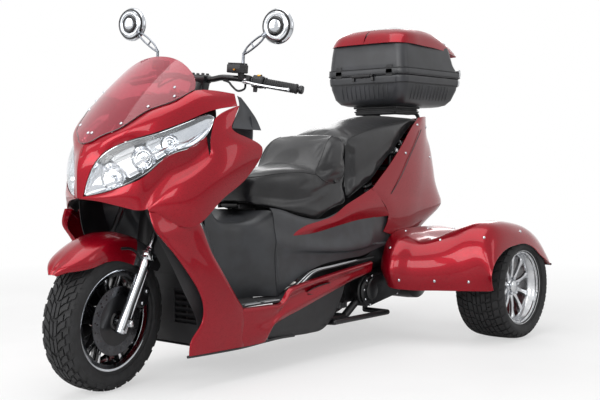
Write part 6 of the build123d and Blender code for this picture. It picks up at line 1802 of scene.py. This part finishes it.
tags = [lathe([(0, 0), (0, 7), (2, 7.5), (6, 7.5), (8, 5), (8, 0)], at_bar(243, 19, 8), (0, -0.3, 1), 20),
        lathe([(0, 0), (0, 4), (7, 4), (7, 0)], (180, BAR_Y - 38, 1110), (0, -1, 0), 6)]
piece("brass_fittings", tags + [mirrored(tags[1])], BRASS, "steering", steered=True, bevel=0.3)

# %% Mirrors
MIRROR_AT = np.array((331, BAR_Y - 2, 1268))
MIRROR_BACK = MIRROR_AT + (0, 2, 0)
bowl = lathe([(0.0, 58), (1.0, 61.5), (-3, 63), (-10, 62.4), (-15, 59.5), (-21, 52), (-24.5, 44), (-24.6, 40),
              (-22.6, 36), (-24.4, 32), (-27.2, 26), (-28.6, 18), (-29.4, 8), (-29.6, 0.0), (-26, 0), (-20, 44),
              (-10, 58), (0.0, 58)], MIRROR_BACK, BACKWARDS, 72)
# painted reflection: two satin black rings on each chrome bowl stand in for the dark bands that the chrome reflects
painted_reflection_rings = [lathe([(s0, r0), (s0 - 1.6, (r0 + r1) / 2), (s1, r1), (s1 + 2, (r0 + r1) / 2), (s0, r0)],
                    MIRROR_BACK, BACKWARDS, 72)
              for s0, r0, s1, r1 in ((-27.6, 21, -23.2, 35), (-21.5, 51, -16.5, 58))]
boss = lathe([(-12, 0), (-12, 9), (0, 10), (6, 8), (6, 0)], MIRROR_AT + (-42, -16, -30), (0.7, 0.2, 0.55), 20)
glass = lathe([(-2, 0), (-2, 58.5), (-0.5, 58.5), (1.2, 40), (2, 20), (2.4, 0)], MIRROR_AT + (0, 1, 0),
              BACKWARDS, 72)
foot = (196, BAR_Y - 12, 1125)
post = tube([foot, (196, BAR_Y - 12, 1146), (196, BAR_Y - 12, 1172)], [7.5, 5.4, 5.2], 16, 12)
nut = lathe([(0, 0), (0, 9), (9, 9), (9, 0)], foot, UPWARDS, 6)
bend, end = np.array((198, BAR_Y - 12, 1172)), MIRROR_AT + (-46, -17, -34)
run = (end - bend) / np.linalg.norm(end - bend)
aside = np.cross(run, BACKWARDS)
arms = [tube([bend - (1, 0, 4), bend + run * 22 + aside * s * 8.5, end - run * 18 + aside * s * 8.5, end + run * 4],
             [5.4, 3.6, 3.6, 5.2], 40, 10) for s in (-1, 1)]
arms.append(tube([bend + run * 46 + aside * 8, bend + run * 46 - aside * 8], 3.0, 6, 8))
stem = [post, nut, boss] + arms
piece("mirror_shells", both(bowl), CHROME, "steering", ["mirrors"], steered=True, bevel=0.3)
piece("mirror_stems", both(*stem), STEM_CHROME, "steering",
      steered=True, bevel=0.3)
# the painted reflection rings: satin black bands on the chrome bowls in place of reflected dark bands
piece("mirror_rings", both(*painted_reflection_rings), SATIN_BLACK, "steering",
      steered=True)
piece("mirror_glasses", both(glass), MIRROR_GLASS, "steering", steered=True)
print("bar parts on the steering body, grip length", round(float(length), 1))

# %% [markdown]
# ## Floor, light and camera
#
# A catalogue picture is taken in a white room: one big soft lamp above, a soft one on each side, and a pale
# floor. The floor and the world are lit plainly, and the rays that go straight to the camera see white, which
# keeps the background clean without putting more light on the machine.


# %% White room
def lamp(name, place, target, size, power):
    """A square soft lamp aimed at a point; places are in metres."""
    data = bpy.data.lights.new(name, "AREA")
    data.shape, data.size, data.size_y, data.energy = "RECTANGLE", size[0], size[1], power
    obj = new_object(name, data)
    aim = (Vector(target) - Vector(place)).to_track_quat("-Z", "Y")
    obj.matrix_world = Matrix.Translation(Vector(place)) @ aim.to_matrix().to_4x4()


lamp("softbox above", (0.2, -1.0, 4.2), (0.0, 0.0, 0.5), (3.6, 4.0), 105)
lamp("softbox front", (0.9, -5.2, 2.5), (0.0, -0.4, 0.7), (3.0, 2.2), 110)
lamp("softbox front left", (3.6, -4.6, 2.6), (0.0, -0.2, 0.6), (1.6, 1.6), 40)
lamp("softbox side", (4.6, 1.6, 2.2), (0.0, 0.2, 0.5), (1.2, 1.8), 14)
lamp("softbox front right", (-2.6, -4.4, 2.4), (0.0, -0.6, 0.7), (2.0, 2.0), 45)
lamp("softbox behind", (-2.4, 4.2, 2.8), (0.0, 0.4, 0.7), (2.6, 2.2), 55)

world = bpy.data.worlds.new("white room")
bpy.context.scene.world = world
world.use_nodes = True
tree = world.node_tree
tree.nodes.clear()
ray = add(tree, "ShaderNodeLightPath")
direct = add(tree, "ShaderNodeMath", {"operation": "MAXIMUM"}, {0: ray.outputs["Is Camera Ray"],
                                                               1: ray.outputs["Is Transmission Ray"]})
seen = add(tree, "ShaderNodeMath", {"operation": "MAXIMUM"}, {0: direct.outputs[0], 1: ray.outputs["Is Glossy Ray"]})
plain = add(tree, "ShaderNodeBackground", None, {"Color": colour("#FFFFFF"), "Strength": 0.32})
white = add(tree, "ShaderNodeBackground", None, {"Color": colour("#FFFFFF"), "Strength": 1.0})
room = add(tree, "ShaderNodeMixShader", None, {0: seen.outputs[0], 1: plain.outputs[0], 2: white.outputs[0]})
add(tree, "ShaderNodeOutputWorld", None, {0: room.outputs[0]})

FLOOR, tree, mix, place = new_finish("white_studio_floor", "ShaderNodeMixShader")
matt = add(tree, "ShaderNodeBsdfPrincipled", None, {"Roughness": 0.8})
tree.links.new(mottled(tree, place, 900, "#EDEDED", "#F6F6F6"), matt.inputs["Base Color"])
glow = add(tree, "ShaderNodeEmission", None, {"Color": colour("#FFFFFF"), "Strength": 1.0})
ray = add(tree, "ShaderNodeLightPath")
reach = add(tree, "ShaderNodeVectorMath", {"operation": "LENGTH"}, {0: place})
fade = add(tree, "ShaderNodeMapRange", None, {0: reach.outputs["Value"], 1: 1.6, 2: 4.0, 3: 0.55, 4: 1.0})
share = add(tree, "ShaderNodeMath", {"operation": "MULTIPLY"}, {0: ray.outputs["Is Camera Ray"], 1: fade.outputs[0]})
for socket, value in zip(mix.inputs, (share.outputs[0], matt.outputs[0], glow.outputs[0])):
    tree.links.new(value, socket)
mesh = bpy.data.meshes.new("floor")
FLOOR_HALF = 9.0  # metres
mesh.from_pydata([(x * FLOOR_HALF, y * FLOOR_HALF, 0.0) for x, y in ((-1, -1), (1, -1), (1, 1), (-1, 1))], [],
                 [(0, 1, 2, 3)])
mesh.materials.append(FLOOR)
new_object("floor", mesh)
bpy.context.scene.view_settings.view_transform = "Standard"

# %% Camera
CAMERA_AT = (2.7570, -3.1241, 0.7786)
CAMERA_AZIMUTH, CAMERA_DOWN, CAMERA_ROLL = (math.radians(d) for d in (40.28, 2.293, -0.228))
LENS_MM, SENSOR_MM, FAR = 62.2, 36.0, 60.0
ahead = Vector((-math.sin(CAMERA_AZIMUTH) * math.cos(CAMERA_DOWN), math.cos(CAMERA_AZIMUTH) * math.cos(CAMERA_DOWN),
                -math.sin(CAMERA_DOWN)))
right = Vector((math.cos(CAMERA_AZIMUTH), math.sin(CAMERA_AZIMUTH), 0.0))
up = right.cross(ahead)
right, up = (right * math.cos(CAMERA_ROLL) + up * math.sin(CAMERA_ROLL),
             up * math.cos(CAMERA_ROLL) - right * math.sin(CAMERA_ROLL))
data = bpy.data.cameras.new("camera")
data.lens, data.sensor_width, data.clip_end = LENS_MM, SENSOR_MM, FAR
camera = new_object("camera", data)
camera.matrix_world = Matrix((right, up, -ahead)).transposed().to_4x4()
camera.location = CAMERA_AT
bpy.context.scene.camera = camera
print("camera at", CAMERA_AT)

# %% [markdown]
# ## Count of pieces

# %% Count of pieces
print(len(MADE), "pieces made")
